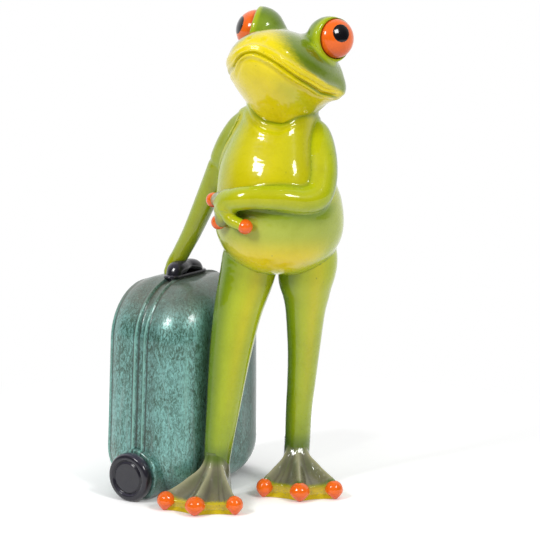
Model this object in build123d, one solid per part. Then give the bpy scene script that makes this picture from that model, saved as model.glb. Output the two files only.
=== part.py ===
from build123d import *
import os
from math import cos, radians, sin, sqrt, tan

# A lacquered resin frog walking with a trolley suitcase.
# The castings are glued together on steel pins and moulded pegs, and nothing on the ornament moves.
# Millimetres and degrees. +Z is up, the frog walks towards -Y, and its own left hand is at +X.
# While it is modelled, the hip centre stands over X = Y = 0. The last step moves the origin
# to the middle of the footprint, on the ground.

# Joints between castings
GLUE_LINE = 0.1
CUT_OVERRUN = 3.0

# Legs
HIP_HEIGHT = 78.0
HIP_SPACING = 19.2
ANKLE_HEIGHT = 13.0
THIGH_DIAMETER = 17.8
RIGHT_STEP_SIDE = 19.8
RIGHT_STEP_FORWARD = 5.0
LEFT_STEP_SIDE = 5.6
LEFT_STEP_BACK = 13.0
LEG_ROD_DIAMETER = 2.0
LEG_ROD_FOOT_DEPTH = 7.0
LEG_ROD_BODY_DEPTH = 12.0
# Webbed feet
ANKLE_DIAMETER = 8.4
FOOT_REACH = 17.0
FOOT_EDGE_HEIGHT = 4.2
HEEL_DIAMETER = 9.4
TOE_DIAMETER = 4.2
TOE_PAD_DIAMETER = 6.0
TOE_PEG_DIAMETER = 1.8
RIGHT_FOOT_TURN = 24.0
LEFT_FOOT_TURN = -3.0
TOE_ANGLES = (-46.0, 0.0, 38.0)
TOE_REACH_SHARES = (0.92, 1.0, 1.1)
WEB_DRAW_IN_SHARE = 0.8
# The web's top line from ankle to toes: share of the reach past the ankle, share of the fall.
INSTEP_SHARES = ((0.12, 0.38), (0.36, 0.72))

# Torso
BELLY_DIAMETER = 40.4
BELLY_HEIGHT = 91.6
BELLY_FORWARD = 2.4
NECK_RISE = 35.6
TORSO_TAPER = 18.5
TORSO_LEAN_BACK = 6.8
TORSO_LEAN_SIDE = 2.8

# Arms
JOINT_SWELL_SHARE = 1.02
UPPER_ARM_DIAMETER = 10.2
RIGHT_ARM_DIAMETER = 7.4
SHOULDER_PIN_DIAMETER = 2.0
SHOULDER_PIN_LENGTH = 12.0
# Each row: place by shares of the belly's radius, sideways and forward, and of the neck's rise over the
# belly, then the share of the arm's diameter: shoulder, elbow, forearm, wrist, palm.
LEFT_ARM_SHARES = (
    (0.66, 0.04, 0.688, 0.92),
    (0.655, 0.72, 0.214, 1.0),
    (-0.1, 1.14, 0.229, 0.8),
    (-0.57, 1.04, 0.214, 0.68),
    (-0.84, 0.84, 0.114, 0.66),
)
RIGHT_SHOULDER_SHARES = (-0.62, -0.10, 0.765)
# Each row: share of the way from shoulder to hand, share of the elbow's bow, diameter share.
RIGHT_ARM_SHARES = (
    (0.0, 0.0, 1.0), (0.34, 1.0, 0.92), (0.84, 0.0, 0.80),
)
ELBOW_BOW = 0.6

# Left hand: each finger's root and tip, placed like the arm.
FINGER_ROOT_DIAMETER = 3.8
FINGER_TIP_DIAMETER = 3.2
FINGER_PAD_DIAMETER = 4.6
FINGER_PEG_DIAMETER = 1.4
FINGER_SHARES = (
    ((-0.8, 0.8, 0.175), (-1.045, 0.5, 0.191)),
    ((-0.82, 0.74, 0.053), (-0.98, 0.72, -0.03)),
    ((-0.76, 0.92, 0.075), (-0.52, 1.14, 0.01)),
)

# Head, in its own frame: the mouth line lies level and the snout points along -Y
HEAD_YAW = 29.0
HEAD_PITCH = 27.5
HEAD_ROLL = 5.5
HEAD_WIDTH = 35.8
SNOUT_LENGTH = 30.0
NAPE_LENGTH = 10.5
SKULL_HEIGHT = 16.5
JAW_DEPTH = 11.6
NECK_TO_MOUTH = 4.8
NECK_TO_FACE_SIDE = 1.8
NECK_TO_FACE_FORWARD = 1.9
MOUTH_GROOVE_HEIGHT = 0.7
MOUTH_GROOVE_DEPTH = 0.8
NOSTRIL_DIAMETER = 1.1
NOSTRIL_DEPTH = 1.2
NOSTRIL_SIDE_SHARE = 0.09
NOSTRIL_FORWARD_SHARE = 0.86
NECK_DOWEL_DIAMETER = 5.0
NECK_DOWEL_LENGTH = 16.0

# Eyes
EYE_DIAMETER = 13.0
EYELID_THICKNESS = 0.6
EYE_SINK = 1.0
EYE_SPACING = 28.8
EYE_FORWARD = 7.7
EYE_RISE = 16.7
EYE_TURN = 26.0
EYE_LIFT = -3.0
PUPIL_DIAMETER = 5.4
PUPIL_TURN = 50.0
LEFT_PUPIL_LIFT = 14.0
RIGHT_PUPIL_LIFT = -7.0
PUPIL_RECESS = 0.6
PUPIL_PROUD = 0.12

# Suitcase, in its own frame: +X runs from the wheel seen in front to the far wheel, +Y to the rear panel
CASE_TURN = 55.0
CASE_SIDE = 45.8
CASE_FORWARD = 0.4
CASE_HEIGHT = 68.5
CASE_BOTTOM_WIDTH = 49.4
CASE_TOP_WIDTH = 45.4
CASE_THICKNESS = 36.4
CASE_GROUND_GAP = 0.6
CASE_CORNER_RADIUS = 14.0
CASE_EDGE_RADIUS = 12.5
RIDGE_WIDTH = 1.2
RIDGE_HEIGHT = 0.6
ZIP_WIDTH = 2.5
ZIP_DEPTH = 0.5
PIPING_INSET = 5.0

# Wheels
WHEEL_DIAMETER = 15.6
WHEEL_WIDTH = 4.4
WHEEL_EDGE_RADIUS = 1.3
WHEEL_HUB_DIAMETER = 9.4
WHEEL_HUB_RECESS = 0.7
WHEEL_HUB_GROOVE = 0.9
WHEEL_SPIGOT_DIAMETER = 4.0
WHEEL_SPIGOT_LENGTH = 5.0
WHEEL_ARCH_RIM = 1.5
WHEEL_ARCH_REACH = 2.2

# Carrying handle
HANDLE_LENGTH = 15.5
HANDLE_RISE = 3.4
HANDLE_BAR_WIDTH = 5.6
HANDLE_BAR_DEPTH = 3.6
HANDLE_PLATE_THICKNESS = 0.6
HANDLE_PEG_DIAMETER = 2.4
HANDLE_PEG_LENGTH = 4.0
HANDLE_BEND_RADIUS = 2.7
# The right hand on the handle: shares of the handle's length, bar width and rise, then diameter share.
RIGHT_PALM_SHARES = ((0.02, -0.34, 2.3, 0.82), (-0.04, -0.52, 1.22, 0.72))


def ball(centre, diameter, poles=Vector(0, 0, 1)):
    """A ball, turned so that its poles lie along the direction given."""
    return Plane(origin=centre, z_dir=poles).location * Sphere(diameter / 2)


def bone(start, end, start_diameter, end_diameter):
    """A straight tapering stretch of a limb."""
    axis = end - start
    place = Plane(origin=start, z_dir=axis.normalized()).location
    low = (Align.CENTER, Align.CENTER, Align.MIN)
    return place * Cone(start_diameter / 2, end_diameter / 2, axis.length, align=low)


def limb_joint(points, diameters, index):
    """A round joint of a limb, a little thicker than its bones, with its poles along the limb."""
    before = points[max(index - 1, 0)]
    after = points[min(index + 1, len(points) - 1)]
    return ball(points[index], diameters[index] * JOINT_SWELL_SHARE, (after - before).normalized())


def limb(points, diameters):
    """A limb of tapering bones with a round joint at each bend and at both ends."""
    form = limb_joint(points, diameters, 0)
    for index in range(1, len(points)):
        form += bone(points[index - 1], points[index], diameters[index - 1], diameters[index])
        form += limb_joint(points, diameters, index)
    return form


def rod(start, end, diameter):
    """A straight round pin between two points."""
    axis = end - start
    plane = Plane(origin=start, z_dir=axis.normalized())
    return extrude(plane * Circle(diameter / 2), axis.length)


# Torso


def on_torso(side_share, forward_share, rise_share):
    """A point placed by shares of the belly's radius, sideways and forward, and of the neck's rise over it."""
    return Vector(
        side_share * BELLY_DIAMETER / 2,
        -forward_share * BELLY_DIAMETER / 2,
        BELLY_HEIGHT + rise_share * NECK_RISE,
    )


def torso_place():
    """Where the torso's axis stands: through the middle of the belly, leaning back and to the left."""
    return Pos(0, -BELLY_FORWARD, BELLY_HEIGHT) * Rot(-TORSO_LEAN_BACK, TORSO_LEAN_SIDE, 0)


def torso_form(extra=0):
    """The pear-shaped body: a round belly running on smoothly into a cone up to the neck, grown by extra."""
    radius = BELLY_DIAMETER / 2 + extra
    rise = NECK_RISE + extra
    taper = radians(TORSO_TAPER)
    halfway = (taper - radians(90)) / 2
    bottom = Vector(0, 0, -radius)
    side = Vector(radius * cos(halfway), 0, radius * sin(halfway))
    tangent = Vector(radius * cos(taper), 0, radius * sin(taper))
    neck = Vector(radius / cos(taper) - rise * tan(taper), 0, rise)
    top = Vector(0, 0, rise)
    profile = make_face([
        ThreePointArc(bottom, side, tangent), Line(tangent, neck), Line(neck, top), Line(top, bottom),
    ])
    return torso_place() * revolve(profile, Axis.Z)


def neck_point():
    """The middle of the torso's flat top."""
    return (torso_place() * Pos(0, 0, NECK_RISE)).position


# Legs


def hip(side):
    """The hip point: side is 1 on the frog's left and -1 on its right."""
    return Vector(side * HIP_SPACING / 2, 0, HIP_HEIGHT)


def ankle(side):
    if side > 0:
        return Vector(LEFT_STEP_SIDE, LEFT_STEP_BACK, ANKLE_HEIGHT)
    return Vector(-RIGHT_STEP_SIDE, -RIGHT_STEP_FORWARD, ANKLE_HEIGHT)


def leg_form(side):
    """A leg: a long cone from the ankle to the round hip, cut level where it stands on the foot."""
    foot, top = ankle(side), hip(side)
    along = (top - foot).normalized()
    leg = limb([foot, top], [ANKLE_DIAMETER, THIGH_DIAMETER])
    leg += rod(foot - along * CUT_OVERRUN, foot, ANKLE_DIAMETER)
    high = (Align.CENTER, Align.CENTER, Align.MAX)
    return leg - Pos(*foot) * Box(FOOT_REACH, FOOT_REACH, FOOT_REACH, align=high)


def leg_rod(side, extra=0):
    """The steel rod through foot, leg and hip."""
    foot, top = ankle(side), hip(side)
    along = (top - foot).normalized()
    start = foot - along * (LEG_ROD_FOOT_DEPTH + extra)
    end = top + along * (LEG_ROD_BODY_DEPTH + extra)
    return rod(start, end, LEG_ROD_DIAMETER + 2 * extra)


# Feet, in their own frame: the ankle stands over the origin and the middle toe points along -Y


def toe_tip(angle, reach_share):
    reach = reach_share * FOOT_REACH
    return Vector(reach * sin(radians(angle)), -reach * cos(radians(angle)), TOE_PAD_DIAMETER / 2)


def toe_tips():
    return [toe_tip(angle, reach_share) for angle, reach_share in zip(TOE_ANGLES, TOE_REACH_SHARES)]


def web_outline():
    """The web in plan: a heel arc, straight sides and an inward curve between each two toes."""
    tips = [Vector(tip.X, tip.Y, 0) for tip in toe_tips()]
    heel = HEEL_DIAMETER / 2
    lines = [
        Line(Vector(-heel, 0, 0), tips[0]),
        ThreePointArc(Vector(heel, 0, 0), Vector(0, heel, 0), Vector(-heel, 0, 0)),
        Line(tips[-1], Vector(heel, 0, 0)),
    ]
    for first, second in zip(tips, tips[1:]):
        lines.append(ThreePointArc(first, (first + second) / 2 * WEB_DRAW_IN_SHARE, second))
    return make_face(lines)


def instep():
    """The foot's flared top, turned about the ankle."""
    ankle_radius = ANKLE_DIAMETER / 2
    rim = max(TOE_REACH_SHARES) * FOOT_REACH
    fall = ANKLE_HEIGHT - FOOT_EDGE_HEIGHT
    curve = [Vector(ankle_radius, 0, ANKLE_HEIGHT)]
    for out_share, fall_share in INSTEP_SHARES:
        out = ankle_radius + out_share * (rim - ankle_radius)
        curve.append(Vector(out, 0, ANKLE_HEIGHT - fall_share * fall))
    curve.append(Vector(rim, 0, FOOT_EDGE_HEIGHT))
    profile = make_face([
        Spline(*curve),
        Line(curve[-1], Vector(rim, 0, 0)),
        Line(Vector(rim, 0, 0), Vector(0, 0, 0)),
        Line(Vector(0, 0, 0), Vector(0, 0, ANKLE_HEIGHT)),
        Line(Vector(0, 0, ANKLE_HEIGHT), curve[0]),
    ])
    return revolve(profile, Axis.Z)


def toe(tip):
    """A round toe from under the ankle to its pad, standing out of the web as a ridge."""
    root = Vector(0, 0, (ANKLE_HEIGHT + FOOT_EDGE_HEIGHT) / 2)
    return rod(root, tip, TOE_DIAMETER)


def toe_peg(tip, extra=0):
    """The moulded peg that a toe pad is glued on."""
    out = Vector(tip.X, tip.Y, 0).normalized()
    reach = TOE_PAD_DIAMETER / 2
    return rod(tip - out * (reach * 2), tip + out * (reach / 2 + extra), TOE_PEG_DIAMETER + 2 * extra)


def foot_place(side):
    turn = LEFT_FOOT_TURN if side > 0 else RIGHT_FOOT_TURN
    spot = ankle(side)
    return Pos(spot.X, spot.Y, 0) * Rot(0, 0, -turn)


def foot_form(side):
    """The webbed foot, mirrored for the right side, with a spherical seat and a peg for each pad."""
    ground = Pos(0, 0, ANKLE_HEIGHT / 2) * Box(4 * FOOT_REACH, 4 * FOOT_REACH, ANKLE_HEIGHT)
    foot = instep() & extrude(web_outline(), ANKLE_HEIGHT)
    for tip in toe_tips():
        foot += toe(tip) & ground
    for tip in toe_tips():
        foot -= ball(tip, TOE_PAD_DIAMETER + 2 * GLUE_LINE)
    for tip in toe_tips():
        foot += toe_peg(tip)
    if side < 0:
        foot = mirror(foot, Plane.YZ)
    return foot_place(side) * foot


def toe_pads(side):
    """The round orange toe pads of one foot."""
    pads = []
    for tip in toe_tips():
        pad = ball(tip, TOE_PAD_DIAMETER) - toe_peg(tip, GLUE_LINE)
        if side < 0:
            pad = mirror(pad, Plane.YZ)
        pads.append(foot_place(side) * pad)
    return pads


# Head


def egg(height, half_width, snout, nape):
    """A level section of the head: a long half ellipse to the snout and a short one to the nape."""
    front = EllipticalCenterArc((0, 0), half_width, snout, 180, arc_size=180)
    back = EllipticalCenterArc((0, 0), half_width, nape, 0, arc_size=180)
    return Pos(0, 0, height) * make_face([front, back])


def head_egg(grow=0):
    """The bare head: four quarter ellipsoids that share the mouth's plane and the widest section."""
    quarter = split(split(Sphere(1), Plane.XZ, keep=Keep.TOP), Plane.XY, keep=Keep.TOP)
    form = None
    for length, turn_back in ((SNOUT_LENGTH, False), (NAPE_LENGTH, True)):
        for height, turn_down in ((SKULL_HEIGHT, False), (JAW_DEPTH, True)):
            piece = scale(quarter, by=(HEAD_WIDTH / 2 + grow, length + grow, height + grow))
            if turn_back:
                piece = mirror(piece, Plane.XZ)
            if turn_down:
                piece = mirror(piece, Plane.XY)
            form = piece if form is None else form + piece
    return form


def mouth_groove():
    """The closed mouth: a narrow groove round the front of the face."""
    outer = egg(0, HEAD_WIDTH / 2 + CUT_OVERRUN, SNOUT_LENGTH + CUT_OVERRUN, NAPE_LENGTH)
    inner = egg(
        0, HEAD_WIDTH / 2 - MOUTH_GROOVE_DEPTH, SNOUT_LENGTH - MOUTH_GROOVE_DEPTH, NAPE_LENGTH
    )
    ring = Pos(0, 0, -MOUTH_GROOVE_HEIGHT / 2) * extrude(outer - inner, MOUTH_GROOVE_HEIGHT)
    front = Pos(0, -(SNOUT_LENGTH + CUT_OVERRUN) / 2, 0) * Box(
        HEAD_WIDTH + 2 * CUT_OVERRUN, SNOUT_LENGTH + CUT_OVERRUN, JAW_DEPTH
    )
    return ring & front


def eye_centre(side):
    return Vector(side * EYE_SPACING / 2, -EYE_FORWARD, EYE_RISE)


def eye_axis(side, turn=EYE_TURN, lift=EYE_LIFT):
    """The way an eye looks: out to the side, turned towards the snout and lifted."""
    level = cos(radians(lift))
    return Vector(side * cos(radians(turn)) * level, -sin(radians(turn)) * level, sin(radians(lift)))


def eyelid(side):
    """The round hood over an eye, cut flat at its rim."""
    centre, axis = eye_centre(side), eye_axis(side)
    hood_diameter = EYE_DIAMETER + 2 * EYELID_THICKNESS + EYE_SINK
    hood = ball(centre - axis * EYE_SINK, hood_diameter)
    rim = Plane(origin=centre, z_dir=axis)
    return hood - extrude(rim * Circle(hood_diameter), hood_diameter)


def pupil_place(side):
    lift = LEFT_PUPIL_LIFT if side > 0 else RIGHT_PUPIL_LIFT
    centre, axis = eye_centre(side), eye_axis(side, PUPIL_TURN, lift)
    return Plane(origin=centre + axis * (EYE_DIAMETER / 2 - PUPIL_RECESS), z_dir=axis)


def pupil_blank(side, extra=0):
    """The straight-sided blank of a pupil, from the floor of its recess outwards."""
    return extrude(pupil_place(side) * Circle(PUPIL_DIAMETER / 2 + extra), CUT_OVERRUN)


def eye_form(side):
    return ball(eye_centre(side), EYE_DIAMETER) - pupil_blank(side, GLUE_LINE)


def pupil_form(side):
    dome = ball(eye_centre(side), EYE_DIAMETER + 2 * PUPIL_PROUD)
    return pupil_blank(side) & dome


def nostril(side):
    """A small round hole bored down into the top of the snout."""
    spot = Vector(side * NOSTRIL_SIDE_SHARE * HEAD_WIDTH / 2, -NOSTRIL_FORWARD_SHARE * SNOUT_LENGTH, 0)
    return rod(spot, spot + Vector(0, 0, SKULL_HEIGHT), NOSTRIL_DIAMETER)


def head_form():
    """The head with its eyelids, eye sockets, mouth and nostrils, in its own frame."""
    head = head_egg() - mouth_groove()
    for side in (1, -1):
        head += eyelid(side)
    for side in (1, -1):
        head -= ball(eye_centre(side), EYE_DIAMETER + 2 * GLUE_LINE)
    inner = head_egg(-NOSTRIL_DEPTH)
    for side in (1, -1):
        head -= nostril(side) - inner
    return head


def head_place():
    """Where the head sits: over the neck, turned to the frog's right, tipped up and cocked to its left."""
    spot = neck_point() + Vector(NECK_TO_FACE_SIDE, -NECK_TO_FACE_FORWARD, NECK_TO_MOUTH)
    return Pos(*spot) * Rot(0, 0, -HEAD_YAW) * Rot(-HEAD_PITCH, 0, 0) * Rot(0, HEAD_ROLL, 0)


def neck_dowel(extra=0):
    neck = neck_point()
    half = Vector(0, 0, NECK_DOWEL_LENGTH / 2 + extra)
    return rod(neck - half, neck + half, NECK_DOWEL_DIAMETER + 2 * extra)


# Suitcase


def case_place():
    return Pos(-CASE_SIDE, -CASE_FORWARD, 0) * Rot(0, 0, CASE_TURN)


def case_outline(grow=0):
    """The broad side's outline, upright: its near end leans in towards the top, its far end is plumb."""
    corners = [
        (0, CASE_GROUND_GAP),
        (CASE_BOTTOM_WIDTH, CASE_GROUND_GAP),
        (CASE_BOTTOM_WIDTH, CASE_HEIGHT),
        (CASE_BOTTOM_WIDTH - CASE_TOP_WIDTH, CASE_HEIGHT),
    ]
    outline = Polygon(*corners, align=None)
    outline = fillet(outline.vertices(), CASE_CORNER_RADIUS)
    if grow:
        outline = offset(outline, grow)
    return Plane.XZ * outline


def slab(outline, middle, thickness):
    """An outline of the suitcase, made solid about a plane at that depth."""
    return Pos(0, middle, 0) * extrude(outline, thickness / 2, both=True)


def case_top_middle():
    return CASE_BOTTOM_WIDTH - CASE_TOP_WIDTH / 2


def case_shell(extra=0):
    """The rounded block of the suitcase, grown outwards by extra."""
    block = slab(case_outline(extra), 0, CASE_THICKNESS + 2 * extra)
    faces = block.faces().sort_by(Axis.Y)
    return fillet(faces[0].edges() + faces[-1].edges(), CASE_EDGE_RADIUS)


def wheel_hub(end):
    """The middle of a wheel's inner face: end is -1 at the near wheel and 1 at the far one."""
    reach = WHEEL_ARCH_REACH + GLUE_LINE
    return Vector(-reach if end < 0 else CASE_BOTTOM_WIDTH + reach, 0, WHEEL_DIAMETER / 2)


def wheel_axis(end):
    return Vector(end, 0, 0)


def wheel_arch(end):
    """The round boss behind a wheel, trimmed clear of the ground."""
    hub, out = wheel_hub(end), wheel_axis(end)
    diameter = WHEEL_DIAMETER + 2 * WHEEL_ARCH_RIM
    boss = rod(hub - out * (GLUE_LINE + CASE_CORNER_RADIUS), hub - out * GLUE_LINE, diameter)
    ground = Pos(hub.X, 0, CASE_GROUND_GAP - diameter / 2) * Box(4 * diameter, 2 * diameter, diameter)
    return boss - ground


def wheel_spigot(end, extra=0):
    hub, out = wheel_hub(end), wheel_axis(end)
    return rod(hub - out * (WHEEL_SPIGOT_LENGTH + extra), hub, WHEEL_SPIGOT_DIAMETER + 2 * extra)


def case_form():
    """The suitcase casting: shell, zip band, rear piping, wheel arches and the sockets in it."""
    case = case_shell()
    ridge_middle = (ZIP_WIDTH + RIDGE_WIDTH) / 2
    for side in (1, -1):
        case += slab(case_outline(RIDGE_HEIGHT), side * ridge_middle, RIDGE_WIDTH)
    zip_ring = slab(case_outline(RIDGE_HEIGHT), 0, ZIP_WIDTH) - slab(case_outline(-ZIP_DEPTH), 0, ZIP_WIDTH)
    case -= zip_ring
    past_tangent = CASE_EDGE_RADIUS - PIPING_INSET
    edge_fall = CASE_EDGE_RADIUS - sqrt(CASE_EDGE_RADIUS**2 - past_tangent**2)
    case += slab(case_outline(RIDGE_HEIGHT - edge_fall), CASE_THICKNESS / 2 - PIPING_INSET, RIDGE_WIDTH)
    for end in (-1, 1):
        case += wheel_arch(end)
        case -= wheel_spigot(end, GLUE_LINE)
    return case


def wheel(end):
    """A wheel in one casting: a round-edged tyre, a sunk ring, a raised hub and a spigot behind."""
    radius, hub_radius = WHEEL_DIAMETER / 2, WHEEL_HUB_DIAMETER / 2
    edge, face = WHEEL_EDGE_RADIUS, WHEEL_WIDTH
    round_in = edge * (1 - cos(radians(45)))
    ring = hub_radius + WHEEL_HUB_GROOVE
    profile = make_face([
        Line((0, 0), (0, radius - edge)),
        ThreePointArc((0, radius - edge), (end * round_in, radius - round_in), (end * edge, radius)),
        Line((end * edge, radius), (end * (face - edge), radius)),
        ThreePointArc(
            (end * (face - edge), radius),
            (end * (face - round_in), radius - round_in),
            (end * face, radius - edge),
        ),
        Line((end * face, radius - edge), (end * face, ring)),
        ThreePointArc(
            (end * face, ring),
            (end * (face - WHEEL_HUB_RECESS), (ring + hub_radius) / 2),
            (end * face, hub_radius),
        ),
        Line((end * face, hub_radius), (end * face, 0)),
        Line((end * face, 0), (0, 0)),
    ])
    return Pos(*wheel_hub(end)) * revolve(profile, Axis.X) + wheel_spigot(end)


def handle_path():
    """The bar's middle line: up, along and down, with round bends."""
    middle, half = case_top_middle(), (HANDLE_LENGTH - HANDLE_BAR_DEPTH) / 2
    foot, top = CASE_HEIGHT, CASE_HEIGHT + HANDLE_RISE
    return FilletPolyline(
        (middle - half, 0, foot), (middle - half, 0, top), (middle + half, 0, top), (middle + half, 0, foot),
        radius=HANDLE_BEND_RADIUS,
    )


def handle_bar(extra=0):
    """The padded bar, swept along its path and grown outwards by extra."""
    path = handle_path()
    section = Plane(origin=path @ 0, x_dir=(0, 1, 0), z_dir=path % 0)
    return sweep(section * Ellipse(HANDLE_BAR_WIDTH / 2 + extra, HANDLE_BAR_DEPTH / 2 + extra), path)


def handle_plate(extra=0):
    """The plate under the bar, seated on the ridges of the zip band."""
    middle = case_top_middle()
    plate = SlotOverall(HANDLE_LENGTH + HANDLE_BAR_DEPTH + 2 * extra, HANDLE_BAR_WIDTH + 2 * extra)
    seat = CASE_HEIGHT + RIDGE_HEIGHT + GLUE_LINE - extra
    return Pos(middle, 0, seat) * extrude(plate, HANDLE_PLATE_THICKNESS + 2 * extra)


def handle_pegs(extra=0):
    path = handle_path()
    pegs = []
    for foot in (path @ 0, path @ 1):
        seat = foot + Vector(0, 0, RIDGE_HEIGHT + GLUE_LINE)
        pegs.append(rod(seat - Vector(0, 0, HANDLE_PEG_LENGTH + extra), seat, HANDLE_PEG_DIAMETER + 2 * extra))
    return pegs


def handle_form():
    """The handle in one casting: bar, plate and two pegs."""
    above = Pos(case_top_middle(), 0, CASE_HEIGHT + RIDGE_HEIGHT + GLUE_LINE) * Box(
        2 * HANDLE_LENGTH, 2 * HANDLE_BAR_WIDTH, 2 * HANDLE_RISE + HANDLE_BAR_DEPTH,
        align=(Align.CENTER, Align.CENTER, Align.MIN),
    )
    return (handle_bar() & above) + handle_plate() + handle_pegs()


# Arms


def left_arm_form():
    """The bent arm across the belly: shoulder, elbow, wrist and drooping hand."""
    points = [on_torso(side, forward, height) for side, forward, height, _ in LEFT_ARM_SHARES]
    diameters = [share * UPPER_ARM_DIAMETER for *_, share in LEFT_ARM_SHARES]
    return limb(points, diameters)


def finger_ends():
    return [(on_torso(*root), on_torso(*tip)) for root, tip in FINGER_SHARES]


def finger_peg(root, tip, extra=0):
    along = (tip - root).normalized()
    reach = FINGER_PAD_DIAMETER / 2
    return rod(tip - along * (reach * 2), tip + along * (reach / 3 + extra), FINGER_PEG_DIAMETER + 2 * extra)


def finger(root, tip):
    """A finger of the left hand, hollowed at its tip to seat the pad, with the pad's peg."""
    form = limb([root, tip], [FINGER_ROOT_DIAMETER, FINGER_TIP_DIAMETER])
    form -= ball(tip, FINGER_PAD_DIAMETER + 2 * GLUE_LINE)
    return form + finger_peg(root, tip)


def on_handle(along_share, across_share, rise_share):
    """A point beside the handle's bar, by shares of its length, bar width and rise."""
    spot = Vector(
        case_top_middle() + along_share * HANDLE_LENGTH,
        -across_share * HANDLE_BAR_WIDTH,
        CASE_HEIGHT + rise_share * HANDLE_RISE,
    )
    return (case_place() * Pos(*spot)).position


def right_arm_form():
    """The long arm down to the suitcase, with the palm laid over the handle's bar from behind."""
    shoulder = on_torso(*RIGHT_SHOULDER_SHARES)
    palm = [on_handle(*row[:3]) for row in RIGHT_PALM_SHARES]
    reach = palm[0] - shoulder
    outward = Vector(-1, 0, 0)
    points = [shoulder + reach * along + outward * (bow * ELBOW_BOW) for along, bow, _ in RIGHT_ARM_SHARES]
    shares = [row[-1] for row in RIGHT_ARM_SHARES + RIGHT_PALM_SHARES]
    return limb(points + palm, [share * RIGHT_ARM_DIAMETER for share in shares])


def shoulder_pin(side, extra=0):
    """The steel pin that holds an arm to the torso."""
    shoulder = on_torso(*LEFT_ARM_SHARES[0][:3]) if side > 0 else on_torso(*RIGHT_SHOULDER_SHARES)
    inward = (Vector(0, shoulder.Y, shoulder.Z) - shoulder).normalized()
    half = inward * (SHOULDER_PIN_LENGTH / 2 + extra)
    middle = shoulder + inward * (SHOULDER_PIN_LENGTH / 3)
    return rod(middle - half, middle + half, SHOULDER_PIN_DIAMETER + 2 * extra)


# Assembly


def build_frog():
    """Every piece of the frog, each cut back from the pieces that it is glued to."""
    pieces = {}
    core = torso_form(GLUE_LINE)
    head_spot = head_place()
    torso = torso_form() - neck_dowel(GLUE_LINE)
    for side in (1, -1):
        torso -= leg_rod(side, GLUE_LINE)
        torso -= shoulder_pin(side, GLUE_LINE)
    pieces["torso"] = torso
    pieces["head"] = head_spot * head_form() - core - neck_dowel(GLUE_LINE)
    pieces["neck_dowel"] = neck_dowel()
    for side, name in ((1, "left"), (-1, "right")):
        pieces[name + "_eye"] = head_spot * eye_form(side)
        pieces[name + "_pupil"] = head_spot * pupil_form(side)
        pieces[name + "_leg"] = leg_form(side) - core - leg_rod(side, GLUE_LINE)
        pieces[name + "_foot"] = foot_form(side) - leg_rod(side, GLUE_LINE)
        pieces[name + "_toe_pads"] = toe_pads(side)
        pieces[name + "_leg_rod"] = leg_rod(side)
        pieces[name + "_shoulder_pin"] = shoulder_pin(side)
    face = head_spot * head_egg(GLUE_LINE)
    arm = left_arm_form() - core - face - shoulder_pin(1, GLUE_LINE)
    pads = []
    for root, tip in finger_ends():
        arm += finger(root, tip) - core
        pad = ball(tip, FINGER_PAD_DIAMETER, (tip - root).normalized())
        pads.append(pad - finger_peg(root, tip, GLUE_LINE))
    pieces["left_arm"] = arm
    pieces["left_finger_pads"] = pads
    case_spot = case_place()
    grip = case_spot * (handle_bar(GLUE_LINE) + handle_plate(GLUE_LINE))
    pieces["right_arm"] = right_arm_form() - core - face - grip - shoulder_pin(-1, GLUE_LINE)
    return pieces


def build_suitcase():
    """Every piece of the suitcase, standing beside the frog."""
    case_spot = case_place()
    case = case_form()
    for peg in handle_pegs(GLUE_LINE):
        case -= peg
    pieces = {
        "suitcase_body": case,
        "suitcase_handle": handle_form(),
        "near_wheel": wheel(-1),
        "far_wheel": wheel(1),
    }
    return {name: case_spot * piece for name, piece in pieces.items()}


def main():
    pieces = build_frog() | build_suitcase()
    solids = {}
    for name, piece in pieces.items():
        castings = piece if isinstance(piece, list) else [piece]
        solids[name] = Compound([solid for casting in castings for solid in casting.solids()])
        if not all(solid.is_valid for solid in solids[name].solids()):
            raise ValueError(f"{name} is not a valid solid")
    box = Compound(list(solids.values())).bounding_box()
    to_origin = Pos(-box.center().X, -box.center().Y, -box.min.Z)
    os.makedirs("parts", exist_ok=True)
    for name, solid in solids.items():
        export_step(to_origin * solid, f"parts/{name}.step")
    print("overall size", box.size, "origin moved by", to_origin.position)


main()
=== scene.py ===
# %% [markdown]
# # A lacquered frog with a trolley suitcase
# The real ornament is a set of resin castings, glued together and sprayed with yellow, lime and green lacquer.
# Its pins and rods come from the solid model, and this lesson shapes everything that shows.
# Sizes are in millimetres, measured from the point between the hips. The frame tells where that point is.

# %% Frame
import bpy
import numpy as np
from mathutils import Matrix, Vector


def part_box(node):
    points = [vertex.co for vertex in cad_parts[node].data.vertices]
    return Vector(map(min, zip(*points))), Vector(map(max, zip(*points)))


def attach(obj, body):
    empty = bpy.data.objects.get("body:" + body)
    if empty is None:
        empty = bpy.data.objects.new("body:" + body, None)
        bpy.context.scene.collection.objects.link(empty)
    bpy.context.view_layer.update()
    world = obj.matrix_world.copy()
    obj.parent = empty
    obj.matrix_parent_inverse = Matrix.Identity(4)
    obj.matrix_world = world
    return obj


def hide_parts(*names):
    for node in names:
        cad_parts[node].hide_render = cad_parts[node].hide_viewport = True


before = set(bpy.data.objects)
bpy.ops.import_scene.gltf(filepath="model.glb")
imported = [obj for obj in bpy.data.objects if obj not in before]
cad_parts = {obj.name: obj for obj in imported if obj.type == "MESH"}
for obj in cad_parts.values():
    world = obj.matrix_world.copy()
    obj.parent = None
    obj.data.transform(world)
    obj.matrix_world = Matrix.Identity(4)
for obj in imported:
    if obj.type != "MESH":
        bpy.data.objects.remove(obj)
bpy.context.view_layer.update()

MM = 0.001
BELLY_FORWARD = 2.4
belly_box = np.array(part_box("torso")) / MM
hip_point = belly_box.mean(axis=0) * (1, 1, 0) + (0, BELLY_FORWARD, 0)
print("the hips stand at", hip_point.round(2), "mm, and the frame holds", len(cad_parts), "nodes")

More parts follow.
